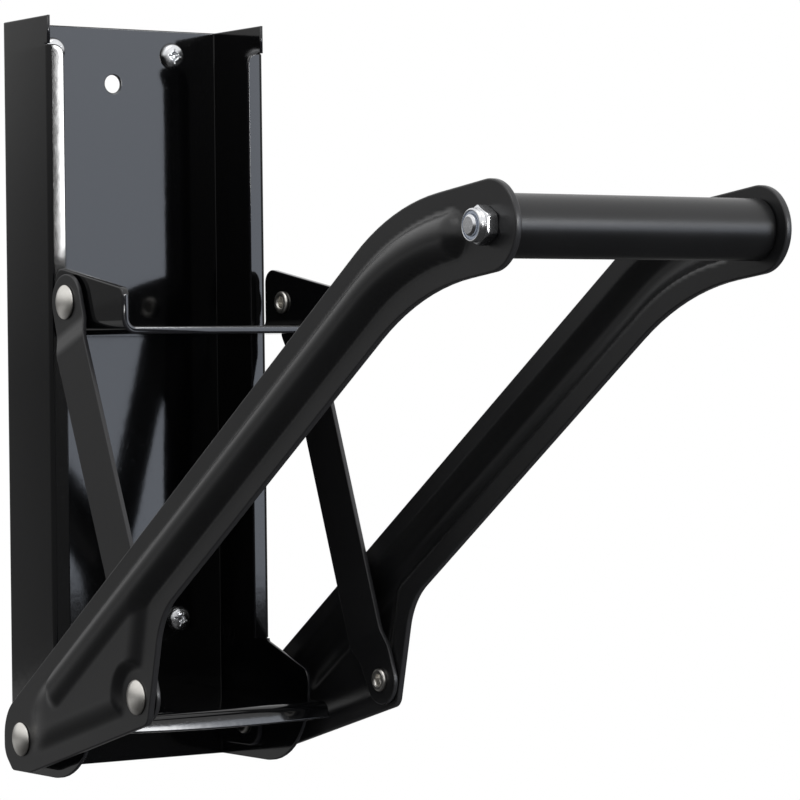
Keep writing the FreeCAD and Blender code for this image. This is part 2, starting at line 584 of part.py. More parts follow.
def grip_nut():
    """A self-locking nut: a hexagon with a round collar that holds a nylon ring."""
    seat = -ARM_OUT
    face = seat - NUT_HEX_H
    collar = turned([(0, 0), (0, NUT_COLLAR_R), (END_CHAMFER - NUT_COLLAR_H, NUT_COLLAR_R),
                     (-NUT_COLLAR_H, NUT_COLLAR_R - END_CHAMFER), (-NUT_COLLAR_H, 0)], face, GRIP_Y, GRIP_Z)
    shape = hexagon(face, seat).fuse(collar).removeSplitter()
    bore = rod(face - NUT_COLLAR_H - OVER, seat + OVER, GRIP_Y, GRIP_Z, BOLT_R + HOLE_FIT)
    pocket = rod(face - INSERT_H, face, GRIP_Y, GRIP_Z, INSERT_R + HOLE_FIT)
    return shape.cut([bore, pocket])


def nut_insert():
    face = -ARM_OUT - NUT_HEX_H
    return ring(face - INSERT_H, face, GRIP_Y, GRIP_Z, INSERT_R, BOLT_R + HOLE_FIT)


# ---- rivets ------------------------------------------------------------------------------------------
def rivet_head(seat, y, z):
    """A domed head whose flat underside lies on the plane X = seat, dome outward."""
    dome = RIVET_HEAD_H - RIVET_RIM
    ball = (RIVET_HEAD_R ** 2 + dome ** 2) / (2 * dome)
    centre = seat + RIVET_HEAD_H - ball
    half_way = RIVET_HEAD_R / 2
    rim = V(seat + RIVET_RIM, y, z + RIVET_HEAD_R)
    middle = V(centre + math.sqrt(ball ** 2 - half_way ** 2), y, z + half_way)
    top = V(seat + RIVET_HEAD_H, y, z)
    base, edge = V(seat, y, z), V(seat, y, z + RIVET_HEAD_R)
    profile = Part.Wire([Part.LineSegment(base, edge).toShape(), Part.LineSegment(edge, rim).toShape(),
                         Part.Arc(rim, middle, top).toShape(), Part.LineSegment(top, base).toShape()])
    return Part.Face(profile).revolve(base, V(1, 0, 0), 360)


def rivet_tail(shape, seat, y, z):
    """Adds the rolled ring on the plane X = seat and opens the rivet's hollow end."""
    roll = turned([(0, 0), (0, TAIL_R - TAIL_ROUND), (-TAIL_ROUND, TAIL_R), (TAIL_ROUND - TAIL_H, TAIL_R),
                   (-TAIL_H, TAIL_R - 2 * TAIL_ROUND), (-TAIL_H, 0)], seat, y, z)
    hollow = rod(seat - TAIL_H - OVER, seat - TAIL_H + TAIL_BORE_L, y, z, TAIL_BORE_R)
    return shape.fuse(roll).removeSplitter().cut(hollow)


def rivet(seat_out, seat_in, y, z):
    """A whole rivet on the right side: domed head outside, rolled tail inside."""
    shape = rivet_head(seat_out, y, z).fuse(rod(seat_in, seat_out, y, z, RIVET_R))
    return rivet_tail(shape, seat_in, y, z)


def main_pivot_rivet():
    return rivet(ARM_OUT + END_PLAY, TAB_IN, PIVOT_Y, PIVOT_Z)


def pivot_spacer():
    return ring(HALF_W, ARM_IN - END_PLAY, PIVOT_Y, PIVOT_Z, SPACER_R, RIVET_R + HOLE_FIT)


def slider_link_rivet():
    return rivet(LINK_OUT + END_PLAY, EAR_IN, SLIDER_Y, SLIDER_Z)


def lever_link_head():
    """The outer half of the rivet at the link pivot, fast in the lever arm."""
    y, z = LINK_PIVOT_Y, LINK_PIVOT_Z
    return rivet_head(ARM_OUT, y, z).fuse(rod(EYE_OUT + END_PLAY, ARM_OUT, y, z, RIVET_R)).removeSplitter()


def lever_link_tail():
    """Its inner half, fast in the link."""
    y, z = LINK_PIVOT_Y, LINK_PIVOT_Z
    return rivet_tail(rod(EYE_IN, EYE_OUT, y, z, RIVET_R), EYE_IN, y, z)


# ---- export ------------------------------------------------------------------------------------------
def save(node, shape):
    shape = shape.copy()
    shape.translate(V(0, 0, -ORIGIN_Z))
    shape.exportStep("parts/" + node + ".step")


def save_pair(node, shape):
    save(node + "_right", shape)
    save(node + "_left", mirrored(shape))


os.makedirs("parts", exist_ok=True)
save("back_channel", back_channel())
save("anvil_plate", anvil_plate())
save("crush_plate", crush_plate())
save("grip_tube", grip_tube())
save("grip_bolt", grip_bolt())
save("grip_nut", grip_nut())
save("nut_insert", nut_insert())
save_pair("grip_bush", grip_bush())
save_pair("lever_arm", lever_arm())
save_pair("link", link())
save_pair("main_pivot_rivet", main_pivot_rivet())
save_pair("pivot_spacer", pivot_spacer())
save_pair("slider_link_rivet", slider_link_rivet())
save_pair("lever_link_rivet", lever_link_head())
save_pair("lever_link_rivet_tail", lever_link_tail())
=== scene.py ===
"""Wall-mounted lever can crusher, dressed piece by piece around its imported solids.

Sizes are millimetres: X across the wall, "forward" away from it (-Y), "up" from the channel's lower edge.
"""
import math

import bmesh
import bpy
import numpy as np
from mathutils import Matrix, Vector, geometry


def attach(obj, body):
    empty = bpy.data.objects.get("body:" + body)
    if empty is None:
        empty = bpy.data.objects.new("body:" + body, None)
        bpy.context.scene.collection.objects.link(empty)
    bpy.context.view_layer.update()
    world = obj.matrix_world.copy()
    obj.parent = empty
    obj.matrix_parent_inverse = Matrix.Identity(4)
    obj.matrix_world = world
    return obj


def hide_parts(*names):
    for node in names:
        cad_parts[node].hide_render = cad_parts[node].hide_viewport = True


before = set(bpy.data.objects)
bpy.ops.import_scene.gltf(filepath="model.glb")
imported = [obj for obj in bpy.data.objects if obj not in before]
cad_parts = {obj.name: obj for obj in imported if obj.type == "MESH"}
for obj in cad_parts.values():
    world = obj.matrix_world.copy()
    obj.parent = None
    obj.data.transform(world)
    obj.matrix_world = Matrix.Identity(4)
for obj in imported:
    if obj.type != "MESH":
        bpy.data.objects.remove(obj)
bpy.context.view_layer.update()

# ---- Channel ----
# One strip of 1.2 mm steel, folded to a deep U with a narrow lip along each front edge and two rounded feet
# that come forward at the bottom.  Blanked, folded and then coated in smooth gloss black.
MM = 0.001
HOLES_UP = 149.0  # middle of the four wall holes above the channel's lower edge
CHANNEL_HALF = 43.0
CHANNEL_DEEP = 32.2
CHANNEL_TALL = 258.0
CHANNEL_SHEET = 1.2
CHANNEL_FOLD = 0.5  # inside radius of its folds
LIP_EDGE = 36.8  # lips' free edges from the middle
LIP_LOW = 43.0
LIP_TOP = 248.3
LIP_NICK = 3.5
LIP_TILT = {1: 0.0, -1: 5.5}  # degrees that each lip stands open
SLIT = 0.1  # half the saw cut at the lips' ends
FOOT_REACH, FOOT_RISE, FOOT_FRONT, FOOT_TOP = 58.2, 1.8, 33.0, 42.0
FOOT_TURNS = (27.0, 5.0, 1.0)
SCREW_HOLE = 2.5
SCREW_X, SCREW_LOW, SCREW_HIGH = 24.0, 49.0, 249.0
CENTRE_HOLE, CENTRE_UP = 3.2, 238.4
PIVOT = (19.8, 12.6)  # lever pivot: forward, up
RIVET_HOLE = 3.0


def rounded(corners, closed=True, step=7.5):
    """The points of an outline of ((s, t), radius) corners, with an arc at each corner that has a radius."""
    points = []
    for i, (at, radius) in enumerate(corners):
        if not radius or (not closed and i in (0, len(corners) - 1)):
            points.append(tuple(at))
            continue
        at = Vector(at)
        one = Vector(corners[i - 1][0]) - at
        two = Vector(corners[(i + 1) % len(corners)][0]) - at
        half = one.angle(two) / 2
        cut = radius / math.tan(half)
        centre = at + (one.normalized() + two.normalized()).normalized() * radius / math.sin(half)
        start = at + one.normalized() * cut - centre
        turn = start.angle_signed(at + two.normalized() * cut - centre)
        steps = max(2, math.ceil(abs(math.degrees(turn)) / step))
        for k in range(steps + 1):
            arm = start.copy()
            arm.rotate(Matrix.Rotation(-turn * k / steps, 2))
            points.append(tuple(centre + arm))
    return [p for p, before in zip(points, points[-1:] + points) if math.dist(p, before) > 1e-4]


def turns(count):
    """Evenly spread angles of a full turn."""
    return [2 * math.pi * k / count for k in range(count)]


def circle(s, t, radius, count=40):
    return [(s + radius * math.cos(a), t + radius * math.sin(a)) for a in turns(count)]


def wound(loop, left):
    """The loop as an array that runs with the material on its left."""
    p = np.array(loop)
    area = np.sum(p[:, 0] * np.roll(p[:, 1], -1) - np.roll(p[:, 0], -1) * p[:, 1])
    return p if (area > 0) == left else p[::-1]


def offset(loop, d):
    """The loop moved d to its left."""
    n1, n2 = (np.stack([-edge[:, 1], edge[:, 0]], 1) / np.linalg.norm(edge, axis=1)[:, None]
              for edge in (loop - np.roll(loop, 1, 0), np.roll(loop, -1, 0) - loop))
    return loop + d * (n1 + n2) / (1 + np.sum(n1 * n2, axis=1))[:, None]


def inside(points, loops):
    """Which points lie in the material between an outline and its holes."""
    odd = np.zeros(len(points), bool)
    for loop in loops:
        for a, b in zip(loop, np.roll(loop, -1, 0)):
            if a[1] == b[1]:
                continue
            spans = (a[1] > points[:, 1]) != (b[1] > points[:, 1])
            odd ^= spans & (points[:, 0] < a[0] + (points[:, 1] - a[1]) * (b[0] - a[0]) / (b[1] - a[1]))
    return odd


def stitch(bm, rings, closed=False):
    """Faces from each ring of vertices to the next and, if closed, from the last ring to the first."""
    for one, two in zip(rings, rings[1:] + rings[:1] if closed else rings[1:]):
        for k in range(len(one)):
            j = (k + 1) % len(one)
            corners = list(dict.fromkeys((one[k], one[j], two[j], two[k])))
            if len(corners) > 2:
                bm.faces.new(corners)


def sheet(name, outline, holes, thick, edge, place, cuts=(), cross=(), spacing=0.0):
    """A closed sheet with rounded edges: cut flat, creased at s = cuts and t = cross, then shaped.

    place(s, t, h) gives x, forward and up; the point attribute "rim" is 1 on the rounded edges."""
    loops = [wound(outline, True)] + [wound(h, False) for h in holes]
    quarter = [math.radians(a) for a in (0, 30, 60, 90)]
    low = [(edge * (1 - math.sin(a)), edge * (1 - math.cos(a))) for a in quarter]
    border = edge + 0.15
    profile = [(border, 0.0)] + low + [(d, thick - h) for d, h in reversed(low)] + [(border, thick)]
    inner = [offset(loop, border) for loop in loops]
    flat = np.concatenate(inner)
    if spacing:
        (s_low, t_low), (s_high, t_high) = flat.min(0), flat.max(0)
        grid = []
        for k, t in enumerate(np.arange(t_low, t_high, spacing * 0.866)):  # near even triangles
            row = np.arange(s_low + (k % 2) * spacing / 2, s_high, spacing)
            grid.append(np.stack([row, np.full(len(row), t)], 1))
        grid = np.concatenate(grid)
        grid = grid[inside(grid, [offset(loop, border + 0.5 * spacing) for loop in loops])]
        flat = np.concatenate([flat, grid])
    borders, first = [], 0
    for loop in inner:
        borders += [(first + k, first + (k + 1) % len(loop)) for k in range(len(loop))]
        first += len(loop)
    spots, _, faces, source, _, _ = geometry.delaunay_2d_cdt(
        [Vector(p) for p in flat], borders, [], 0, 1e-7)
    middles = np.array([np.mean([spots[i] for i in f], axis=0) for f in faces])
    kept = [f for f, ok in zip(faces, inside(middles, inner)) if ok]

    bm = bmesh.new()
    rim = bm.verts.layers.float.new("rim")
    rings = []
    for loop in loops:
        rings.append([])
        for d, h in profile:
            ring = [bm.verts.new((p[0], p[1], h)) for p in offset(loop, d)]
            for v in ring:
                v[rim] = max(0.0, 1 - d / edge)
            rings[-1].append(ring)
    under = [v for ring in rings for v in ring[0]]
    over = [v for ring in rings for v in ring[-1]]
    for p in flat[len(under):]:
        under.append(bm.verts.new((p[0], p[1], 0.0)))
        over.append(bm.verts.new((p[0], p[1], thick)))
    for f in kept:
        a, b, c = (source[i][0] for i in f)
        bm.faces.new((under[a], under[c], under[b]))
        bm.faces.new((over[a], over[b], over[c]))
    for ring in rings:
        stitch(bm, ring)
    for crease, square in [((s, 0, 0), (1, 0, 0)) for s in cuts] + [((0, t, 0), (0, 1, 0)) for t in cross]:
        everything = bm.verts[:] + bm.edges[:] + bm.faces[:]
        bmesh.ops.bisect_plane(bm, geom=everything, dist=1e-6, plane_co=crease, plane_no=square)
    at = np.array([v.co for v in bm.verts])
    x, forward, up = place(at[:, 0], at[:, 1], at[:, 2])
    for v, a, b, c in zip(bm.verts, x, forward, up):
        v.co = (a * MM, -b * MM, (c - HOLES_UP) * MM)
    return as_object(bm, name)


def new_object(name, data):
    made = bpy.data.objects.new(name, data)
    bpy.context.scene.collection.objects.link(made)
    return made


def as_object(bm, name):
    bmesh.ops.recalc_face_normals(bm, faces=bm.faces)
    mesh = bpy.data.meshes.new(name)
    bm.to_mesh(mesh)
    bm.free()
    mesh.polygons.foreach_set("use_smooth", [True] * len(mesh.polygons))
    return new_object(name, mesh)


def fitted(piece, finish, body, slot, *nodes):
    """Gives a finished piece its coat and its body, in place of the plain solids."""
    piece.data.materials.clear()
    piece.data.materials.append(finish)
    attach(piece, body)
    if nodes:
        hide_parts(*nodes)


def feed(tree, socket, value):
    """Joins another node's output to an input, or fills the input with a plain value."""
    if isinstance(value, bpy.types.NodeSocket):
        tree.links.new(value, socket)
    else:
        socket.default_value = value


def node(tree, kind, *inputs, **values):
    """A node with its settings, its named inputs and its first inputs filled in; _ stands for a space."""
    made = tree.nodes.new(kind)
    for key, value in values.items():
        if key.islower() and hasattr(made, key):
            setattr(made, key, value)
        else:
            feed(tree, made.inputs[key.replace("_", " ")], value)
    for socket, value in zip(made.inputs, inputs):
        feed(tree, socket, value)
    return made


def mixed(tree, pick, one, two, kind="FLOAT"):
    """One number (FLOAT) or colour (RGBA) turned into another by pick."""
    first, out = {"FLOAT": (2, 0), "RGBA": (6, 2)}[kind]
    made = node(tree, "ShaderNodeMix", pick, data_type=kind)
    feed(tree, made.inputs[first], one)
    feed(tree, made.inputs[first + 1], two)
    return made.outputs[out]


def surface_group(name, inputs, outputs):
    """An empty group: its tree, what it is given, its results, and each point's place on the piece."""
    tree = bpy.data.node_groups.new(name, "ShaderNodeTree")
    for label, value in inputs:
        tree.interface.new_socket(label, in_out="INPUT", socket_type="NodeSocketFloat").default_value = value
    for label in outputs:
        tree.interface.new_socket(label, in_out="OUTPUT", socket_type="NodeSocketFloat")
    given, result = tree.nodes.new("NodeGroupInput"), tree.nodes.new("NodeGroupOutput")
    return tree, given.outputs, result.inputs, tree.nodes.new("ShaderNodeTexCoord").outputs["Object"]


def noise(tree, place, size, detail, rough):
    """Noise from 0 to 1, finer for a larger size."""
    made = node(tree, "ShaderNodeTexNoise", Vector=place, Scale=size, Detail=detail, Roughness=rough)
    return made.outputs["Fac"]


def remap(tree, value, start, end, low=0, high=1):
    """A value between start and end turned into one between low and high."""
    made = node(tree, "ShaderNodeMapRange", Value=value, From_Min=start, From_Max=end, To_Min=low,
                To_Max=high)
    return made.outputs["Result"]


def coat_group():
    """Powder or wet coat on sheet steel: ripples, fine grain, thin places at the edges and settled dust."""
    tree, given, result, place = surface_group(
        "coat_surface", (("Ripple Size", 300.0), ("Grain Size", 2500.0), ("Grain", 0.3), ("Dust", 0.1)),
        ("Height", "Roughness", "Edge", "Tone"))
    ripple = noise(tree, place, given["Ripple Size"], 2.0, 0.5)
    grain = noise(tree, place, given["Grain Size"], 3.0, 0.6)
    broad = noise(tree, place, 38.0, 4.0, 0.55)
    specks = noise(tree, place, 1100.0, 1.0, 0.4)
    dusty = node(tree, "ShaderNodeMath", remap(tree, specks, 0.66, 0.74), given["Dust"], operation="MULTIPLY")
    feed(tree, result["Height"], mixed(tree, given["Grain"], ripple, grain))
    feed(tree, result["Roughness"], dusty.outputs[0])
    feed(tree, result["Edge"], node(tree, "ShaderNodeAttribute", attribute_name="rim").outputs["Fac"])
    feed(tree, result["Tone"], broad)
    return tree


coat_surface = coat_group()


def material(name, group, **sizes):
    """A new material with one surface group in it: the material, its tree and the group's results."""
    made = bpy.data.materials.new(name)
    made.use_nodes = True
    return made, made.node_tree, node(made.node_tree, "ShaderNodeGroup", node_tree=group, **sizes).outputs


def finished(tree, colour, rough, height, depth):
    shader = tree.nodes["Principled BSDF"].inputs
    feed(tree, shader["Base Color"], colour)
    feed(tree, shader["Roughness"], rough)
    bump = node(tree, "ShaderNodeBump", Strength=1.0, Distance=depth, Height=height)
    feed(tree, shader["Normal"], bump.outputs["Normal"])


def coat(name, colour, edge_colour, rough, ripple, grain_size, grain, depth, dust=0.25, swing=0.06):
    """A coated-steel material: near black, a little thinner and brighter on the rounded edges."""
    made, tree, surface = material(name, coat_surface, Ripple_Size=ripple, Grain_Size=grain_size, Grain=grain,
                                   Dust=dust)
    darker, lighter = ((*[share * c for c in colour], 1) for share in (0.8, 1.2))
    tone = mixed(tree, surface["Tone"], darker, lighter, "RGBA")
    edged = mixed(tree, surface["Edge"], tone, (*edge_colour, 1), "RGBA")
    spread = remap(tree, surface["Tone"], 0, 1, rough - swing, rough + swing)
    total = node(tree, "ShaderNodeMath", spread, surface["Roughness"], operation="ADD")
    finished(tree, edged, total.outputs[0], surface["Height"], depth)
    return made


gloss_black = coat("gloss_black_coat", (0.0022, 0.0023, 0.0027), (0.012, 0.012, 0.014), rough=0.07,
                   ripple=230.0, grain_size=2600.0, grain=0.12, depth=0.00001, dust=0.05, swing=0.02)

FOLD_MID = CHANNEL_FOLD + CHANNEL_SHEET / 2
FOLD_RUN = math.pi / 2 * FOLD_MID
BACK_END = CHANNEL_HALF - CHANNEL_SHEET - CHANNEL_FOLD  # where the back stops being flat
SIDE_START = BACK_END + FOLD_RUN
SIDE_END = SIDE_START + CHANNEL_DEEP - 2 * (CHANNEL_SHEET + CHANNEL_FOLD)
LIP_START = SIDE_END + FOLD_RUN
LIP_FREE = LIP_START + BACK_END - LIP_EDGE
FORWARD_ZERO = SIDE_START - CHANNEL_SHEET - CHANNEL_FOLD  # flat position less forward, on a side


def folded_channel(s, t, h):
    """Folds the flat strip: the back, a side and, between the slits, a lip."""
    w, side = np.abs(s), np.where(s < 0, -1.0, 1.0)
    out = h - CHANNEL_SHEET / 2
    radius = FOLD_MID + out
    a = np.clip((w - BACK_END) / FOLD_MID, 0, math.pi / 2)
    base = CHANNEL_SHEET + CHANNEL_FOLD
    x = np.where(w < BACK_END, w, BACK_END + radius * np.sin(a))
    forward = np.where(w < BACK_END, CHANNEL_SHEET / 2 - out, base - radius * np.cos(a))
    straight = w > SIDE_START
    forward = np.where(straight, w - FORWARD_ZERO, forward)
    lipped = (w > SIDE_END) & (t > LIP_LOW) & (t < LIP_TOP)
    tilt = np.where(s < 0, LIP_TILT[-1], LIP_TILT[1])
    full = np.radians(90 - tilt)
    b = np.clip((w - SIDE_END) / FOLD_MID, 0, full)
    rest = np.maximum(w - SIDE_END - full * FOLD_MID, 0)
    lip_x = BACK_END + radius * np.cos(b) - rest * np.sin(full)
    lip_forward = CHANNEL_DEEP - base + radius * np.sin(b) + rest * np.cos(full)
    x = np.where(lipped, lip_x, x)
    forward = np.where(lipped, lip_forward, forward)
    return side * x, forward, t


def other_half(right):
    """The left half of a symmetrical outline."""
    return [((-s, t), r) for (s, t), r in reversed(right)]


def channel_blank():
    """The strip's outline before it is folded, right half then left half."""
    edge = FORWARD_ZERO + CHANNEL_DEEP
    toe = FORWARD_ZERO + FOOT_REACH
    half = [((toe, FOOT_RISE), FOOT_TURNS[0]), ((toe, FOOT_FRONT), FOOT_TURNS[1]),
            ((edge, FOOT_TOP), FOOT_TURNS[2]), ((edge, LIP_LOW - SLIT), 0),
            ((SIDE_END, LIP_LOW - SLIT), 0), ((SIDE_END, LIP_LOW + SLIT), 0),
            ((LIP_FREE, LIP_LOW + SLIT), 0), ((LIP_FREE, LIP_TOP - SLIT), LIP_NICK),
            ((SIDE_END, LIP_TOP - SLIT), 0), ((SIDE_END, LIP_TOP + SLIT), 0), ((edge, LIP_TOP + SLIT), 0),
            ((edge, CHANNEL_TALL), 0)]
    heel = FORWARD_ZERO + CHANNEL_DEEP - 2 * CHANNEL_FOLD
    right = [((heel, 0.0), 0)] + half
    return rounded(right + other_half(right))


holes = [circle(x, up, SCREW_HOLE) for x in (-SCREW_X, SCREW_X) for up in (SCREW_LOW, SCREW_HIGH)]
holes.append(circle(0.0, CENTRE_UP, CENTRE_HOLE, 56))
holes += [circle(side * (FORWARD_ZERO + PIVOT[0]), PIVOT[1], RIVET_HOLE) for side in (-1, 1)]
creases = [side * (start + FOLD_RUN * k / 8)
           for side in (-1, 1) for start in (BACK_END, SIDE_END) for k in range(9)]
channel = sheet("channel_sheet", channel_blank(), holes, CHANNEL_SHEET, edge=0.3, place=folded_channel,
                cuts=creases)
fitted(channel, gloss_black, "frame", "gloss_black_coat", "back_channel")

# ---- Anvil ----
# The shelf that carries the can: 2 mm steel with a short skirt folded down in front and two tabs folded down
# inside the channel's sides, where the lever's rivets pass through them.
ANVIL_HALF = 41.6
ANVIL_UP = 23.4  # its upper face
ANVIL_SHEET = 2.0
ANVIL_REACH = 72.2
ANVIL_BACK = 1.25
SKIRT_LOW = (18.0, 17.1)  # the skirt's lower edge at its ends and in the middle
TAB_BACK, TAB_FRONT, TAB_LOW = 2.8, 29.0, 4.6
TAB_FOLD = 0.6
SKIRT_FOLD = 1.4
SKIRT_TURN = math.radians(78)  # a little less than square
SKIRT_LEAN = 0.65  # what that adds to its reach

TAB_MID = TAB_FOLD + ANVIL_SHEET / 2
TAB_START = ANVIL_HALF - ANVIL_SHEET - TAB_FOLD
TAB_RUN = math.pi / 2 * TAB_MID
SKIRT_MID = SKIRT_FOLD + ANVIL_SHEET / 2
SKIRT_START = ANVIL_REACH - ANVIL_SHEET - SKIRT_FOLD - SKIRT_LEAN
SKIRT_RUN = SKIRT_TURN * SKIRT_MID


def folded_anvil(s, t, h):
    """s runs across, t forward; h is 0 underneath."""
    w, side = np.abs(s), np.where(s < 0, -1.0, 1.0)
    out = h - ANVIL_SHEET / 2
    middle = ANVIL_UP - ANVIL_SHEET / 2
    a = np.clip((w - TAB_START) / TAB_MID, 0, math.pi / 2)
    tabbed = (w > TAB_START) & (t < TAB_FRONT + 0.1)
    down = np.maximum(w - TAB_START - TAB_RUN, 0)
    x = np.where(tabbed, TAB_START + (TAB_MID + out) * np.sin(a), w)
    up = np.where(tabbed, middle - TAB_MID + (TAB_MID + out) * np.cos(a) - down, middle + out)
    b = np.clip((t - SKIRT_START) / SKIRT_MID, 0, SKIRT_TURN)
    fronted = t > SKIRT_START
    drop = np.maximum(t - SKIRT_START - SKIRT_RUN, 0)
    skirt_forward = SKIRT_START + (SKIRT_MID + out) * np.sin(b) + drop * math.cos(SKIRT_TURN)
    skirt_up = middle - SKIRT_MID + (SKIRT_MID + out) * np.cos(b) - drop * math.sin(SKIRT_TURN)
    return side * x, np.where(fronted, skirt_forward, t), np.where(fronted, skirt_up, up)


def flat_down(up):
    """How far out on the blank a height on a tab or the skirt lies, past the fold's start."""
    return ANVIL_UP - ANVIL_SHEET / 2 - up


tab_low = TAB_START + TAB_RUN + flat_down(TAB_LOW) - TAB_MID
skirt_turned = SKIRT_MID * (1 - math.cos(SKIRT_TURN))
skirt_end, skirt_mid = (SKIRT_START + SKIRT_RUN + (flat_down(up) - skirt_turned) / math.sin(SKIRT_TURN)
                        for up in SKIRT_LOW)
sag = [(ANVIL_HALF * x, skirt_mid + (skirt_end - skirt_mid) * x * x) for x in np.linspace(1, -1, 25)]
slit = TAB_FRONT + 0.2
right = [((TAB_START, ANVIL_BACK), 0), ((TAB_START, TAB_BACK), 0), ((tab_low, TAB_BACK), 3.0),
         ((tab_low, TAB_FRONT), 6.0), ((TAB_START, TAB_FRONT), 0), ((TAB_START, slit), 0),
         ((ANVIL_HALF, slit), 0)]
blank = rounded(right + [(p, 0) for p in sag] + other_half(right))
tab_hole = TAB_START + TAB_RUN + flat_down(PIVOT[1]) - TAB_MID
anvil_holes = [circle(side * tab_hole, PIVOT[0], RIVET_HOLE) for side in (-1, 1)]
creases = [side * (TAB_START + TAB_RUN * k / 6) for side in (-1, 1) for k in range(7)]
cross = [SKIRT_START + SKIRT_RUN * k / 8 for k in range(9)]
anvil = sheet("anvil_shelf", blank, anvil_holes, ANVIL_SHEET, edge=0.35, place=folded_anvil, cuts=creases,
              cross=cross)
fitted(anvil, gloss_black, "frame", "gloss_black_coat", "anvil_plate")

# ---- Crush plate ----
# 2.5 mm steel across the channel's mouth.  Two ears are folded up for the links' rivets, and a neck passes
# between the lips to a wider head that slides behind them.
CRUSH_SHEET = 2.5
SLIDER = (46.9, 160.5872)  # ear pivots: forward, up
EAR_DOWN, EAR_RISE = 11.1, 12.4  # pivots to the underside and to the ears' back corners
EAR_SLOPE = math.radians(10.5)
CRUSH_UP = SLIDER[1] - EAR_DOWN
CRUSH_REACH = 80.8
CRUSH_FOLD = 2.5
MOUTH = 35.4  # ears' back edges, just in front of the channel
EAR_BACK_UP = SLIDER[1] + EAR_RISE
EAR_FRONT_UP = EAR_BACK_UP - (CRUSH_REACH - MOUTH) * math.tan(EAR_SLOPE)
GUIDE_HALF, GUIDE_BACK, GUIDE_FRONT = 41.3, 7.0, 30.5  # the head behind the lips
NECK = 35.8

CRUSH_MID = CRUSH_FOLD + CRUSH_SHEET / 2
EAR_START = CHANNEL_HALF - CRUSH_SHEET - CRUSH_FOLD
EAR_RUN = math.pi / 2 * CRUSH_MID


def folded_crush(s, t, h):
    w, side = np.abs(s), np.where(s < 0, -1.0, 1.0)
    out = CRUSH_SHEET / 2 - h  # outward is underneath
    middle = CRUSH_UP + CRUSH_SHEET / 2
    eared = (w > EAR_START) & (t > (GUIDE_FRONT + MOUTH) / 2)
    a = np.clip((w - EAR_START) / CRUSH_MID, 0, math.pi / 2)
    rise = np.maximum(w - EAR_START - EAR_RUN, 0)
    x = np.where(eared, EAR_START + (CRUSH_MID + out) * np.sin(a), w)
    up = np.where(eared, middle + CRUSH_MID - (CRUSH_MID + out) * np.cos(a) + rise, middle - out)
    return side * x, t, up


def up_ear(up):
    return EAR_START + EAR_RUN + up - CRUSH_UP - CRUSH_SHEET / 2 - CRUSH_MID


right = [((GUIDE_HALF, GUIDE_BACK), 2.5), ((GUIDE_HALF, GUIDE_FRONT), 1.0), ((NECK, GUIDE_FRONT), 0.8),
         ((NECK, MOUTH), 0), ((up_ear(EAR_BACK_UP), MOUTH), 4.5), ((up_ear(EAR_FRONT_UP), CRUSH_REACH), 3.0)]
ear_holes = [circle(side * up_ear(SLIDER[1]), SLIDER[0], RIVET_HOLE) for side in (-1, 1)]
creases = [side * (EAR_START + EAR_RUN * k / 10) for side in (-1, 1) for k in range(11)]
blank = rounded(right + other_half(right))
crush = sheet("crush_press", blank, ear_holes, CRUSH_SHEET, edge=0.4, place=folded_crush, cuts=creases)
fitted(crush, gloss_black, "slider", "gloss_black_coat", "crush_plate")

# ---- Links ----
# Two 1.6 mm steel bars with round eyes that step outward, coated in the levers' satin black.  Each hangs
# from an ear of the crush plate and is pulled by the lever arm beside it.
satin_black = coat("satin_black_coat", (0.0075, 0.0076, 0.0083), (0.02, 0.02, 0.022), rough=0.33,
                   ripple=520.0, grain_size=3800.0, grain=0.55, depth=0.00002, dust=0.1, swing=0.05)
LINK_SHEET = 1.6
LINK_INSIDE = 43.8
LINK_LONG = 138.0
LINK_FRONT, LINK_BACK = 8.7, -10.7  # the line between the pivots to the bar's two edges
LINK_TOP_EYE, LINK_LOW_EYE = 9.4, 8.3
EYE_END, BAR_END = 9.0, 15.0  # from each pivot to the flat eye's end and to the straight bar
EYE_STEP, BAR_IN = 1.4, -0.5
EYE_INSIDE = LINK_INSIDE + EYE_STEP  # the lower eye
LINK_STEPS = ((0, 0), (EYE_END, 0), (BAR_END, EYE_STEP), (LINK_LONG - BAR_END, BAR_IN),
              (LINK_LONG - EYE_END, EYE_STEP), (LINK_LONG, EYE_STEP))  # along the bar, outward
SOFT = 0.6  # spacing of the creases that round the steps
JOINT = (97.9373, 32.3718)  # link pivots on the arms: forward, up


def eyed_bar():
    """The link's outline, along and square to the line between its pivots."""
    half_turn = np.linspace(-0.5, 0.5, 36) * math.pi
    top = [(LINK_TOP_EYE * math.cos(a), LINK_TOP_EYE * math.sin(a)) for a in half_turn + math.pi]
    low = [(LINK_LONG + LINK_LOW_EYE * math.cos(a), LINK_LOW_EYE * math.sin(a)) for a in half_turn]
    back = [(BAR_END, LINK_BACK), (LINK_LONG - BAR_END, LINK_BACK)]
    front = [(LINK_LONG - BAR_END, LINK_FRONT), (BAR_END, LINK_FRONT)]
    return rounded([(p, 0) for p in top + back + low + front])


def mirrored_in(place, side):
    """The same shaping for the left (-1) or right (1) hand piece."""
    def placed(s, t, h):
        x, forward, up = place(s, t, h)
        return side * x, forward, up
    return placed


def stepped_link(run, across, h):
    """Sets the bar between its pivots, with the eyes stepped in and out as its soft bends leave them."""
    runs, steps = np.array(LINK_STEPS).T
    out = np.mean([np.interp(run + d * SOFT, runs, steps) for d in (-2, -1, 0, 1, 2)], axis=0)
    lean = math.atan2(JOINT[0] - SLIDER[0], SLIDER[1] - JOINT[1])
    forward = SLIDER[0] + run * math.sin(lean) + across * math.cos(lean)
    up = SLIDER[1] - run * math.cos(lean) + across * math.sin(lean)
    return LINK_INSIDE + out + h, forward, up


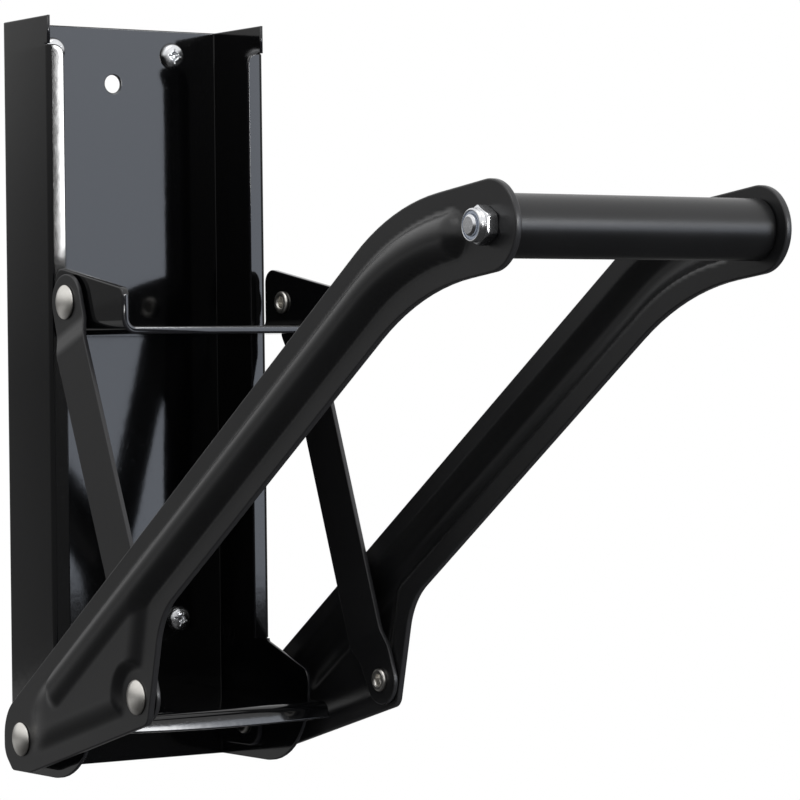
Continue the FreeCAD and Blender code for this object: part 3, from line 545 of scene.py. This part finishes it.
LOOSE = 0.05  # a turning hole's play round its rivet
HANDS = ((-1, "left"), (1, "right"))
bar_holes = [circle(0, 0, RIVET_HOLE + LOOSE), circle(LINK_LONG, 0, RIVET_HOLE)]
stepped = ((EYE_END, BAR_END), (LINK_LONG - BAR_END, LINK_LONG - EYE_END))
creases = [s for start, end in stepped for s in np.arange(start - 2 * SOFT, end + 2.2 * SOFT, SOFT)]
for side, hand in HANDS:
    link_bar = sheet("link_bar_" + hand, eyed_bar(), bar_holes, LINK_SHEET, edge=0.3,
                     place=mirrored_in(stepped_link, side), cuts=creases)
    fitted(link_bar, satin_black, hand + "_link", "satin_black_coat", "link_" + hand)

# ---- Lever arms ----
# Two pressed arms, mirror images in 2.2 mm steel.  A half-round rib runs from the grip down into a raised
# field over the wide end, with a flat seat round the link's rivet; the back is hollow in the same places.
ARM_INSIDE = 47.2
ARM_SHEET = 2.2
ARM_WIDE = 27.4
ARM_SLOPE = math.radians(34.3)
TIP_SLOPE = math.radians(6.7)
KEEL_SLOPE = math.radians(15.7)
NOSE_SLOPE = math.radians(76.5)
PIVOT_BACK, PIVOT_UPPER, BACK_ROUND, TIP_END = 12.7, 13.8, 14.7, 13.0
FLAT_DOWN, FLAT_CUT, KEEL_DOWN, NOSE_AHEAD = 10.9, 5.4, 11.95, 8.6  # pivots to edges
UPPER_BEND, RIB_BEND, UNDER_BEND, NOSE_BEND = 95.0, 98.0, 101.0, 24.0  # radii
RIB_START, RIB_STOP = 34.0, 13.4  # from the lever's pivot and from the grip's
GRIP = (293.8945, 176.3824)  # grip bolt: forward, up
RIB_HALF = 6.5
PRESS_UP = 4.9
FIELD_UP = 2.7
FIELD_RIM, NOSE_RIM, HEEL_RIM = 6.2, 7.6, 8.5  # flat strips left round the raised field
SEAT_FLAT, SEAT_TOP = 8.8, 12.2  # radii of the flat seat and of its rim


def aside(p, slope, across):
    return (p[0] - across * math.sin(slope), p[1] + across * math.cos(slope))


def ahead(p, slope, run):
    return (p[0] + run * math.cos(slope), p[1] + run * math.sin(slope))


def crossing(p, slope_p, q, slope_q):
    ux, uy, wx, wy = math.cos(slope_p), math.sin(slope_p), math.cos(slope_q), math.sin(slope_q)
    run = ((q[0] - p[0]) * wy - (q[1] - p[1]) * wx) / (ux * wy - uy * wx)
    return (p[0] + run * ux, p[1] + run * uy)


UPPER = aside(PIVOT, ARM_SLOPE, PIVOT_UPPER)
UNDER = aside(PIVOT, ARM_SLOPE, PIVOT_UPPER - ARM_WIDE)
TIP_UPPER, TIP_UNDER = aside(GRIP, TIP_SLOPE, TIP_END), aside(GRIP, TIP_SLOPE, -TIP_END)
KEEL = aside(PIVOT, KEEL_SLOPE, -KEEL_DOWN)
NOSE = (JOINT[0] + NOSE_AHEAD, JOINT[1])


def arm_outline():
    back, flat = PIVOT[0] - PIVOT_BACK, PIVOT[1] - FLAT_DOWN
    tip = ahead(GRIP, TIP_SLOPE, TIP_END)
    square = TIP_SLOPE + math.pi / 2
    return rounded([((back, flat + FLAT_CUT), 8.0), ((back + FLAT_CUT, flat), 1.5),
                    (crossing((back, flat), 0, KEEL, KEEL_SLOPE), 6.0),
                    (crossing(KEEL, KEEL_SLOPE, NOSE, NOSE_SLOPE), 4.5),
                    (crossing(NOSE, NOSE_SLOPE, UNDER, ARM_SLOPE), NOSE_BEND),
                    (crossing(UNDER, ARM_SLOPE, TIP_UNDER, TIP_SLOPE), UNDER_BEND),
                    (crossing(TIP_UNDER, TIP_SLOPE, tip, square), TIP_END),
                    (crossing(tip, square, TIP_UPPER, TIP_SLOPE), TIP_END),
                    (crossing(TIP_UPPER, TIP_SLOPE, UPPER, ARM_SLOPE), UPPER_BEND),
                    (crossing(UPPER, ARM_SLOPE, (back, flat), math.pi / 2), BACK_ROUND)], step=3.0)


def rib_line():
    middle = aside(PIVOT, ARM_SLOPE, PIVOT_UPPER - ARM_WIDE / 2)
    start = ahead(middle, ARM_SLOPE, RIB_START)
    end = ahead(GRIP, TIP_SLOPE, -RIB_STOP - RIB_HALF)
    bend = crossing(middle, ARM_SLOPE, GRIP, TIP_SLOPE)
    return np.array(rounded([(start, 0), (bend, RIB_BEND), (end, 0)], closed=False, step=1.5))


def soft_max(a, b, k):
    """The larger of two heights, blended where they are within k of each other."""
    h = np.maximum(k - np.abs(a - b), 0) / k
    return np.maximum(a, b) + h * h * k / 4


def soft_min(a, b, k):
    return -soft_max(-a, -b, k)


def to_line(s, t, line):
    """Distance from each point to a line of straight runs."""
    best = np.full(len(s), 1e9)
    for a, b in zip(line, line[1:]):
        run = b - a
        part = np.clip(((s - a[0]) * run[0] + (t - a[1]) * run[1]) / (run @ run), 0, 1)
        best = np.minimum(best, np.hypot(s - a[0] - part * run[0], t - a[1] - part * run[1]))
    return best


def left_of(s, t, p, slope):
    """Signed distance to the left of the line through p."""
    return -(s - p[0]) * math.sin(slope) + (t - p[1]) * math.cos(slope)


RIB_LINE = rib_line()


def press_height(s, t):
    """How far the sheet is pressed out at each point of the arm."""
    d = to_line(s, t, RIB_LINE)
    ball = (RIB_HALF ** 2 + PRESS_UP ** 2) / (2 * PRESS_UP)
    dome = np.sqrt(np.maximum(ball ** 2 - d ** 2, 0)) - (ball - PRESS_UP)
    rib = np.where(d < ball * 0.98, dome, -3.0)
    rib_side = (ARM_WIDE - 2 * RIB_HALF) / 2
    edges = [left_of(s, t, aside(KEEL, KEEL_SLOPE, FIELD_RIM), KEEL_SLOPE),
             left_of(s, t, (NOSE[0] - NOSE_RIM / math.sin(NOSE_SLOPE), NOSE[1]), NOSE_SLOPE),
             -left_of(s, t, aside(UPPER, ARM_SLOPE, -rib_side), ARM_SLOPE),
             (s - PIVOT[0] - HEEL_RIM) * 0.5]
    inner = edges[0]
    for other in edges[1:]:
        inner = soft_min(inner, other, 4.0)
    field = soft_min(inner * 0.7, np.full(len(s), FIELD_UP), 2.0)
    out = soft_max(soft_max(rib, field, 2.5), np.zeros(len(s)), 1.0)
    far = np.clip((np.hypot(s - JOINT[0], t - JOINT[1]) - SEAT_FLAT) / (SEAT_TOP - SEAT_FLAT), 0, 1)
    out = out * far * far * (3 - 2 * far)
    return soft_min(out, np.full(len(s), PRESS_UP), 0.5)


def pressed_arm(s, t, h):
    return ARM_INSIDE + h + press_height(s, t), s, t


arm_holes = [circle(*PIVOT, RIVET_HOLE + LOOSE), circle(*JOINT, RIVET_HOLE), circle(*GRIP, RIVET_HOLE)]
for side, hand in HANDS:
    arm = sheet("pressed_arm_" + hand, arm_outline(), arm_holes, ARM_SHEET, edge=0.45,
                place=mirrored_in(pressed_arm, side), spacing=1.15)
    fitted(arm, satin_black, "lever", "satin_black_coat", "lever_arm_" + hand)

# ---- Grip ----
# A satin black steel tube that turns on a bolt between the arms' ends, with a black plastic bush pressed into
# each end of it.
TUBE_HALF = 46.9
TUBE_R, TUBE_WALL = 9.1, 1.5
BUSH_LONG = 12.0
BOLT_R = 3.0
HELD = 0.12  # how near each arc a turned profile's straight runs are held


def polar(x, r, a):
    """A point r from the X axis and turned by a, in metres."""
    return (x * MM, r * MM * math.cos(a), r * MM * math.sin(a))


def lathe(profile, closed=True, around=72):
    """A shape turned about X from (x, radius) points; an open profile starts and ends on the axis."""
    bm = bmesh.new()
    rings = []
    for x, r in profile:
        if r < 1e-6:
            rings.append([bm.verts.new((x * MM, 0, 0))] * around)
        else:
            rings.append([bm.verts.new(polar(x, r, a)) for a in turns(around)])
    stitch(bm, rings, closed)
    return bm


def soft_profile(corners, closed=True):
    """Rounds a turned profile and holds its straight runs flat right up to each arc."""
    points = rounded(corners, closed, step=22.5)
    held = []
    for a, b in zip(points, points[1:] + points[:1] if closed else points[1:]):
        held.append(a)
        run = math.dist(a, b)
        if run > 5 * HELD:
            one, two = np.array(a), np.array(b)
            held += [tuple(one + (two - one) * f) for f in (HELD / run, 1 - HELD / run)]
    return held if closed else held + [points[-1]]


def moved(bm, forward, up):
    bmesh.ops.translate(bm, verts=bm.verts, vec=(0, -forward * MM, (up - HOLES_UP) * MM))
    return bm


bore = TUBE_R - TUBE_WALL
profile = soft_profile([((-TUBE_HALF, TUBE_R), 0.4), ((TUBE_HALF, TUBE_R), 0.4), ((TUBE_HALF, bore), 0.3),
                        ((-TUBE_HALF, bore), 0.3)])
sleeve = as_object(moved(lathe(profile, around=120), *GRIP), "grip_sleeve")
fitted(sleeve, satin_black, "grip", "satin_black_coat", "grip_tube")

black_plastic = coat("black_plastic", (0.012, 0.012, 0.012), (0.02, 0.02, 0.02), rough=0.5, ripple=700.0,
                     grain_size=3000.0, grain=0.5, depth=0.00002)


def site_tree():
    """A copy of one fastener on each site, turned to face its side and spun about its own axis."""
    tree = bpy.data.node_groups.new("fasteners_on_sites", "GeometryNodeTree")
    for label, kind in (("Geometry", "Geometry"), ("Sites", "Object"), ("Finish", "Material"),
                        ("Spin", "Float"), ("Seed", "Int")):
        tree.interface.new_socket(label, in_out="INPUT", socket_type="NodeSocket" + kind)
    tree.interface.new_socket("Geometry", in_out="OUTPUT", socket_type="NodeSocketGeometry")
    given, result = tree.nodes.new("NodeGroupInput").outputs, tree.nodes.new("NodeGroupOutput").inputs
    sites = node(tree, "GeometryNodeObjectInfo", Object=given["Sites"])
    facing = node(tree, "GeometryNodeInputNamedAttribute", data_type="FLOAT", Name="facing")
    chance = node(tree, "FunctionNodeRandomValue", data_type="FLOAT", Seed=given["Seed"])
    feed(tree, chance.inputs[3], given["Spin"])
    turn = node(tree, "ShaderNodeCombineXYZ", X=chance.outputs[1], Z=facing.outputs["Attribute"])
    copies = node(tree, "GeometryNodeInstanceOnPoints", Points=sites.outputs["Geometry"],
                  Instance=given["Geometry"], Rotation=turn.outputs[0])
    solid = node(tree, "GeometryNodeRealizeInstances", Geometry=copies.outputs["Instances"])
    coated = node(tree, "GeometryNodeSetMaterial", Geometry=solid.outputs[0], Material=given["Finish"])
    feed(tree, result["Geometry"], coated.outputs["Geometry"])
    return tree


fasteners_on_sites = site_tree()


def on_sites(bm, name, sites, finish, spin=0.0, seed=1):
    """Copies one fastener, made along +X at the origin, to (x, forward, up, degrees it faces) sites."""
    master = as_object(bm, name + "_one")
    points = bpy.data.meshes.new(name + "_sites")
    points.from_pydata([(x * MM, -f * MM, (u - HOLES_UP) * MM) for x, f, u, _ in sites], [], [])
    facing = points.attributes.new("facing", "FLOAT", "POINT")
    facing.data.foreach_set("value", [math.radians(a) for *_, a in sites])
    where = new_object(name + "_sites", points)
    modifier = master.modifiers.new("sites", "NODES")
    modifier.node_group = fasteners_on_sites
    values = {"Sites": where, "Finish": finish, "Spin": spin, "Seed": seed}
    for item in fasteners_on_sites.interface.items_tree:
        if item.in_out == "INPUT" and item.name in values:
            modifier[item.identifier] = values[item.name]
    bpy.context.view_layer.update()
    graph = bpy.context.evaluated_depsgraph_get()
    mesh = bpy.data.meshes.new_from_object(master.evaluated_get(graph))
    mesh.name = name
    piece = new_object(name, mesh)
    for spare in (master, where):
        bpy.data.objects.remove(spare)
    return piece


NEAR = 0.02  # pieces that touch are drawn this far apart
BUSH_R = bore - NEAR
bush_bore = BOLT_R + 0.1
profile = soft_profile([((0.0, BUSH_R), 0.2), ((0.0, bush_bore), 0.2), ((-BUSH_LONG, bush_bore), 0.2),
                        ((-BUSH_LONG, BUSH_R), 0.5)])


def pair(x, at):
    """Sites for the same fastener on both sides, facing outward."""
    return [(x, *at, 0), (-x, *at, 180)]


bushes = on_sites(lathe(profile), "grip_bushes", pair(TUBE_HALF, GRIP), black_plastic)
fitted(bushes, black_plastic, "grip", "black_plastic", "grip_bush_left", "grip_bush_right")

# ---- Grip bolt and nut ----
# A zinc-plated M6 hexagon bolt from the right arm to a self-locking nut outside the left arm.  The nut has a
# round collar, rolled over a ring of pale nylon.
ARM_OUTSIDE = ARM_INSIDE + ARM_SHEET
HEX_FLATS, HEX_TALL, COLLAR_R, COLLAR_TALL, BOLT_POINT = 10.0, 4.0, 4.75, 2.0, 0.9
INSERT_R = 4.1


def metal_group():
    """Plated or polished steel: fine scratches, cloudy plating and small pits."""
    tree, given, result, place = surface_group(
        "plated_surface", (("Scratch Size", 400.0), ("Cloud Size", 150.0)), ("Scratch", "Cloud", "Pits"))
    drawn = node(tree, "ShaderNodeMapping", vector_type="POINT", Vector=place, Scale=(1.0, 0.12, 1.0))
    feed(tree, result["Scratch"], noise(tree, drawn.outputs[0], given["Scratch Size"], 4.0, 0.7))
    feed(tree, result["Cloud"], noise(tree, place, given["Cloud Size"], 3.0, 0.55))
    pits = node(tree, "ShaderNodeTexVoronoi", Vector=place, Scale=1800.0)
    feed(tree, result["Pits"], remap(tree, pits.outputs["Distance"], 0, 0.22, 1, 0))
    return tree


plated_surface = metal_group()
PIT_ROUGH = 0.12


def plated(name, colour, dark, rough, swing, scratch, cloud, depth):
    made, tree, surface = material(name, plated_surface, Scratch_Size=scratch, Cloud_Size=cloud)
    feed(tree, tree.nodes["Principled BSDF"].inputs["Metallic"], 1.0)
    tone = mixed(tree, surface["Cloud"], (*dark, 1), (*colour, 1), "RGBA")
    spread = remap(tree, surface["Scratch"], 0, 1, rough - swing, rough + swing)
    pitted = node(tree, "ShaderNodeMath", surface["Pits"], PIT_ROUGH, spread, operation="MULTIPLY_ADD")
    finished(tree, tone, pitted.outputs[0], surface["Scratch"], depth)
    return made


bright_zinc = plated("bright_zinc", (0.86, 0.87, 0.89), (0.62, 0.63, 0.65), rough=0.24, swing=0.08,
                     scratch=900.0, cloud=240.0, depth=0.00001)


def hexed(low, high, bore, chamfer_low, above=()):
    """A hexagon about X with turned-off corners, from an inner radius, with an optional turned top."""
    flat = HEX_FLATS / 2
    bm = bmesh.new()
    rows = []
    steep = math.tan(math.radians(30))
    for a in turns(96):
        corner = (a + math.pi / 6) % (math.pi / 3) - math.pi / 6
        reach = min(flat / math.cos(corner), flat * 2 / math.sqrt(3) - 0.12)
        cut = (reach - flat * 0.965) * steep
        under = low + (cut if chamfer_low else 0.05)
        chain = [(low, bore), (low, flat * 0.93), (under, reach - 0.02), (under + 0.15, reach),
                 (high - cut - 0.12, reach), (high - cut, reach - 0.03), (high, flat * 0.965),
                 (high, flat * 0.95)]
        chain += above if above else [(high, bore)]
        rows.append([bm.verts.new(polar(x, r, a)) for x, r in chain])
    stitch(bm, rows, True)
    return bm


collar = [(HEX_TALL, COLLAR_R + 0.1), (HEX_TALL + 0.1, COLLAR_R)]
top = HEX_TALL + COLLAR_TALL
collar += [(top - 0.7, COLLAR_R), (top - 0.35, COLLAR_R - 0.1), (top - 0.1, COLLAR_R - 0.35),
           (top, COLLAR_R - 0.6), (top - 0.12, INSERT_R + 0.02), (top - 0.4, INSERT_R),
           (HEX_TALL + 0.4, INSERT_R), (HEX_TALL + 0.4, BOLT_R + NEAR)]
nut = as_object(hexed(0.0, HEX_TALL, BOLT_R + NEAR, True, collar), "grip_nut_body")
nut.data.transform(Matrix.Rotation(math.pi, 4, "Z"))
nut.data.transform(Matrix.Translation((-ARM_OUTSIDE * MM, -GRIP[0] * MM, (GRIP[1] - HOLES_UP) * MM)))
fitted(nut, bright_zinc, "lever", "bright_zinc", "grip_nut")

white_nylon = coat("white_nylon", (0.42, 0.47, 0.56), (0.5, 0.55, 0.62), rough=0.45, ripple=900.0,
                   grain_size=2500.0, grain=0.4, depth=0.00001)
profile = soft_profile([((HEX_TALL + 0.45, INSERT_R - 0.03), 0.1), ((top - 0.35, INSERT_R - 0.03), 0.3),
                        ((top - 0.35, BOLT_R + 0.04), 0.3), ((HEX_TALL + 0.45, BOLT_R + 0.04), 0.1)])
insert = on_sites(lathe(profile), "nut_ring", [(-ARM_OUTSIDE, *GRIP, 180)], white_nylon)
fitted(insert, white_nylon, "lever", "white_nylon", "nut_insert")

far = ARM_OUTSIDE + HEX_TALL + COLLAR_TALL + BOLT_POINT
profile = soft_profile([((-far, 0.0), 0), ((-far, BOLT_R - 0.6), 0.1), ((-far + 0.6, BOLT_R), 0.15),
                        ((ARM_OUTSIDE + 0.5, BOLT_R), 0), ((ARM_OUTSIDE + 0.5, 0.0), 0)], closed=False)
shank = lathe(profile, closed=False)
head = hexed(ARM_OUTSIDE, ARM_OUTSIDE + HEX_TALL, 0.4, False)
head_mesh = bpy.data.meshes.new("bolt_head")
head.to_mesh(head_mesh)
shank.from_mesh(head_mesh)
bolt = as_object(moved(shank, *GRIP), "grip_bolt_whole")
fitted(bolt, bright_zinc, "lever", "bright_zinc", "grip_bolt")

# ---- Rivets and spacers ----
# Nickel-plated semi-tubular rivets, with a low domed head outside and a hollow end rolled over inside.
# Zinc-plated rings keep the arms clear of the channel.
satin_nickel = plated("nickel_rivet", (0.86, 0.84, 0.8), (0.64, 0.62, 0.58), rough=0.33, swing=0.07,
                      scratch=700.0, cloud=260.0, depth=0.000012)
HEAD_R, HEAD_TALL, HEAD_RIM = 5.75, 2.2, 0.5
TAIL_R, TAIL_TALL, TAIL_BORE, TAIL_DEEP = 3.9, 1.3, 1.9, 4.0
PLAY = 0.1


def head_points():
    """The domed head from its flat underside at x = 0 to its crown on the axis."""
    dome = HEAD_TALL - HEAD_RIM
    ball = (HEAD_R ** 2 + dome ** 2) / (2 * dome)
    widest = math.asin(HEAD_R / ball)
    arc = [(HEAD_TALL - ball + ball * math.cos(a), ball * math.sin(a))
           for a in np.linspace(widest * 0.985, 0, 14)]
    rim = [(0.0, 0.3), (0.02, 0.12), (0.12, 0.02), (0.3, 0.0), (0.45, 0.01)]
    return [(x, HEAD_R - d) for x, d in rim] + arc


def tail_points(x):
    """The rolled end on the plane x, from the bore's bottom outwards to the shank."""
    mid, half = (TAIL_R + TAIL_BORE) / 2, (TAIL_R - TAIL_BORE) / 2
    roll = [(x - TAIL_TALL * 0.45 - TAIL_TALL * 0.55 * math.sin(a), mid - half * math.cos(a))
            for a in np.linspace(0, math.pi, 13)]
    deep = x - TAIL_TALL + TAIL_DEEP
    inside_bore = [(deep, 0.0), (deep, TAIL_BORE - 0.3), (deep - 0.3, TAIL_BORE)]
    return inside_bore + roll + [(x - 0.3, TAIL_R), (x, TAIL_R - 0.1)]


def whole_rivet(grip):
    shank = [(-grip, RIVET_HOLE - 0.01), (0.0, RIVET_HOLE - 0.01)]
    return lathe(tail_points(-grip) + shank + head_points(), closed=False)


TAB_INSIDE = ANVIL_HALF - ANVIL_SHEET
seat = ARM_OUTSIDE + PLAY
FULL_TURN = 6.28
rivets = whole_rivet(seat - TAB_INSIDE)
rivets = on_sites(rivets, "lever_rivets", pair(seat, PIVOT), satin_nickel, FULL_TURN, seed=3)
fitted(rivets, satin_nickel, "frame", "nickel_rivet", "main_pivot_rivet_left", "main_pivot_rivet_right")
seat = LINK_INSIDE + LINK_SHEET + PLAY
rivets = whole_rivet(seat - CHANNEL_HALF + CRUSH_SHEET)
rivets = on_sites(rivets, "slider_rivets", pair(seat, SLIDER), satin_nickel, FULL_TURN, seed=5)
fitted(rivets, satin_nickel, "slider", "nickel_rivet", "slider_link_rivet_left", "slider_link_rivet_right")

inner = EYE_INSIDE + LINK_SHEET + PLAY - ARM_OUTSIDE
shank = [(inner, 0.0), (inner, RIVET_HOLE - 0.2), (inner + 0.2, RIVET_HOLE), (0.0, RIVET_HOLE)]
heads = lathe(shank + head_points(), closed=False)
heads = on_sites(heads, "link_rivet_heads", pair(ARM_OUTSIDE, JOINT), satin_nickel, FULL_TURN, seed=7)
fitted(heads, satin_nickel, "lever", "nickel_rivet", "lever_link_rivet_left", "lever_link_rivet_right")
bore_end = [(LINK_SHEET - 0.5, 0.0), (LINK_SHEET - 0.5, TAIL_BORE - 0.2), (LINK_SHEET - 0.7, TAIL_BORE)]
shank = [(0.0, RIVET_HOLE), (LINK_SHEET - 0.2, RIVET_HOLE), (LINK_SHEET, RIVET_HOLE - 0.2), (LINK_SHEET, 0.0)]
profile = bore_end + tail_points(0.0)[3:] + shank
for side, hand in HANDS:
    tails = on_sites(lathe(profile, closed=False), "link_rivet_tail_" + hand,
                     [(side * EYE_INSIDE, *JOINT, 0 if side > 0 else 180)], satin_nickel)
    fitted(tails, satin_nickel, hand + "_link", "nickel_rivet", "lever_link_rivet_tail_" + hand)

SPACER_R = 7.5
long, bore = ARM_INSIDE - PLAY - CHANNEL_HALF, RIVET_HOLE + NEAR
profile = soft_profile([((0.0, SPACER_R), 0.25), ((long, SPACER_R), 0.25), ((long, bore), 0.1),
                        ((0.0, bore), 0.1)])
rings = on_sites(lathe(profile), "pivot_spacers", pair(CHANNEL_HALF, PIVOT), bright_zinc)
fitted(rings, bright_zinc, "frame", "bright_zinc", "pivot_spacer_left", "pivot_spacer_right")

# ---- Wall screws ----
# Four zinc-plated pan-head screws with a cross recess, driven through the channel's back into the wall.
PAN_R, PAN_TALL = 4.7, 2.6
SHANK_R = SCREW_HOLE - 0.35
SHANK_END = -CHANNEL_SHEET + 0.05
CROSS_HALF, CROSS_REACH, CROSS_CORE, CROSS_DEEP = 0.42, 1.95, 0.9, 1.5  # the recess and its slopes' widths
CROSS_SLOPE, REACH_SLOPE, CORE_SLOPE = 0.28, 0.65, 0.5


def falling(value, start, run):
    """1 up to start, then down to 0 over the run."""
    return 1 - min(1.0, max(0.0, (value - start) / run))


def pan_high(r, a):
    """The head's height at a radius and an angle."""
    dome = PAN_TALL * (1 - 0.42 * (r / PAN_R) ** 2 - 0.58 * max(0.0, (r / PAN_R - 0.72) / 0.28) ** 2.6)
    cross = falling(abs(math.sin(2 * a) / 2) ** 0.5 * r * 1.2, CROSS_HALF, CROSS_SLOPE)
    deep = max(cross * falling(r, CROSS_REACH, REACH_SLOPE), falling(r, CROSS_CORE, CORE_SLOPE))
    return dome - CROSS_DEEP * deep * (1 - 0.25 * r / 2.5)


def pan_screw():
    """Head outward along +X from the sheet at x = 0; the shank stops at the wall plane."""
    around, steps = 96, 22
    angles = turns(around)
    bm = bmesh.new()
    rows = [[bm.verts.new((pan_high(0.0, 0.0) * MM, 0, 0))] * around]
    for k in range(1, steps + 1):
        r = PAN_R * (k / steps) ** 0.8
        rows.append([bm.verts.new(polar(pan_high(r, a), r, a)) for a in angles])
    for x, r in ((0.02, PAN_R - 0.05), (0.0, PAN_R - 0.2), (0.0, SHANK_R), (SHANK_END, SHANK_R)):
        rows.append([bm.verts.new(polar(x, r, a)) for a in angles])
    rows.append([bm.verts.new((SHANK_END * MM, 0, 0))] * around)
    stitch(bm, rows)
    return bm


corners = [(x, CHANNEL_SHEET, up, -90) for x in (-SCREW_X, SCREW_X) for up in (SCREW_LOW, SCREW_HIGH)]
QUARTER_TURN = 1.57
screws = on_sites(pan_screw(), "wall_screws", corners, bright_zinc, QUARTER_TURN, seed=11)
fitted(screws, bright_zinc, "frame", "bright_zinc")

# ---- Studio ----
# A white sweep behind and a pale floor far below; in mirror finishes both are dim and brighten upwards, and
# there the floor's glow is painted shade: dim under the tool, brighter far behind it.
# A soft box at the front right lights the channel's back, a strip its left lip, a far one the anvil's skirt.
FLOOR_HALF, FLOOR_UP = 4, -0.5  # metres
DEEP, MIDDLE = 40.0, 128.0  # the tool's middle: forward, up
YAW, PITCH, ROLL = 0.5998505, -0.0090734, -0.0115198
ahead_way = Vector((math.sin(YAW), math.cos(YAW), 0))


def seen_as(tree, *ways):
    """1 for rays of any of these kinds."""
    path = tree.nodes.new("ShaderNodeLightPath").outputs
    total, *others = (path[f"Is {way} Ray"] for way in ways)
    for other in others:
        total = node(tree, "ShaderNodeMath", total, other, operation="MAXIMUM").outputs[0]
    return total


floor_mesh = bpy.data.meshes.new("studio_floor")
corners = [(x * FLOOR_HALF, y * FLOOR_HALF, FLOOR_UP) for x, y in ((-1, -1), (1, -1), (1, 1), (-1, 1))]
floor_mesh.from_pydata(corners, [], [(0, 1, 2, 3)])
floor = new_object("studio_floor", floor_mesh)
paper = bpy.data.materials.new("studio_paper")
paper.use_nodes = True
tree = paper.node_tree
matt = tree.nodes["Principled BSDF"]
matt.inputs["Base Color"].default_value = (0.8, 0.8, 0.8, 1)
matt.inputs["Roughness"].default_value = 0.9
spot = node(tree, "ShaderNodeSeparateXYZ", tree.nodes.new("ShaderNodeTexCoord").outputs["Object"])
# Painted shade: seen in mirror finishes the floor glows 0.04 under the tool and up to 0.42 far behind it, in
# place of its own shadow and light.
mirrored = remap(tree, spot.outputs["Y"], 0.25, 1.5, 0.04, 0.42)
glow = mixed(tree, seen_as(tree, "Glossy"), 1.0, mirrored)
white = node(tree, "ShaderNodeEmission", Strength=glow)
seen = seen_as(tree, "Camera", "Glossy", "Transmission")
pick = node(tree, "ShaderNodeMixShader", seen, matt.outputs[0], white.outputs[0])
tree.links.new(pick.outputs[0], tree.nodes["Material Output"].inputs["Surface"])
floor_mesh.materials.append(paper)

world = bpy.data.worlds.new("pale_room")
bpy.context.scene.world = world
world.use_nodes = True
tree = world.node_tree
way = tree.nodes.new("ShaderNodeTexCoord").outputs["Generated"]
parts = node(tree, "ShaderNodeSeparateXYZ", way)
shade = node(tree, "ShaderNodeValToRGB", remap(tree, parts.outputs["Z"], -1, 1))
stops = ((-1.0, 0.03), (-0.12, 0.17), (0.0, 0.16), (0.05, 0.27), (0.1, 0.48), (0.2, 0.8), (0.35, 1.0),
         (1.0, 1.0))  # how far up a mirrored ray points, brightness
while len(shade.color_ramp.elements) < len(stops):
    shade.color_ramp.elements.new(0.5)
for stop, (z, bright) in zip(shade.color_ramp.elements, stops):
    stop.position = (z + 1) / 2
    stop.color = (bright, bright, bright, 1)
toward = node(tree, "ShaderNodeVectorMath", way, ahead_way, operation="DOT_PRODUCT")
sweep = remap(tree, toward.outputs["Value"], 0.93, 0.97)
room = mixed(tree, sweep, shade.outputs["Color"], 1.0)
room = mixed(tree, seen_as(tree, "Glossy"), 0.65, room)
room = mixed(tree, seen_as(tree, "Camera", "Transmission"), room, 1.0)
back = tree.nodes["Background"]
back.inputs["Color"].default_value = (1, 1, 1, 1)
tree.links.new(room, back.inputs["Strength"])


def soft_box(name, azimuth, climb, away, wide, tall, radiance, tint=(1, 1, 1)):
    """An even lamp that looks at the tool from azimuth degrees right of its front and climb above it."""
    lamp = bpy.data.lights.new(name, "AREA")
    lamp.shape = "RECTANGLE"
    lamp.size, lamp.size_y = wide, tall
    lamp.energy = radiance * math.pi * wide * tall
    lamp.color = tint
    made = new_object(name, lamp)
    a, e = math.radians(azimuth), math.radians(climb)
    centre = Vector((0, -DEEP * MM, 0))
    level = math.cos(e)
    made.location = centre + away * Vector((math.sin(a) * level, -math.cos(a) * level, math.sin(e)))
    made.rotation_euler = (centre - made.location).to_track_quat("-Z", "Y").to_euler()


soft_box("front_right", 33, 3, away=1.6, wide=0.5, tall=0.55, radiance=2.8, tint=(0.8, 0.87, 1.0))
soft_box("lip_strip", 18, 6, away=1.6, wide=0.12, tall=0.22, radiance=42.0)
soft_box("skirt_kicker", 27.6, 12.8, away=4.0, wide=0.53, tall=0.3, radiance=20.0)
soft_box("overhead", -20, 65, away=1.5, wide=1.2, tall=1.0, radiance=1.3)

right_way = Vector((math.cos(YAW), -math.sin(YAW), 0))
sight = math.cos(PITCH) * ahead_way + math.sin(PITCH) * Vector((0, 0, 1))
over = math.cos(PITCH) * Vector((0, 0, 1)) - math.sin(PITCH) * ahead_way
across = math.cos(ROLL) * right_way + math.sin(ROLL) * over
upright = math.cos(ROLL) * over - math.sin(ROLL) * right_way
PIXELS, FOCAL, FAR = 800, 3533.72, 1.211638  # pixels, pixels, metres
SHIFT = (77.7603, -0.72547)  # across and up the view, from the tool's middle
eye = bpy.data.cameras.new("eye")
eye.sensor_width = 36.0
eye.lens = FOCAL * eye.sensor_width / PIXELS
camera = new_object("eye", eye)
turn = Matrix((across, upright, -sight)).transposed().to_4x4()
target = (Vector((0, -DEEP, MIDDLE - HOLES_UP)) + SHIFT[0] * across + SHIFT[1] * upright) * MM
camera.matrix_world = Matrix.Translation(target - FAR * sight) @ turn
bpy.context.scene.camera = camera
bpy.context.scene.view_settings.view_transform = "Standard"
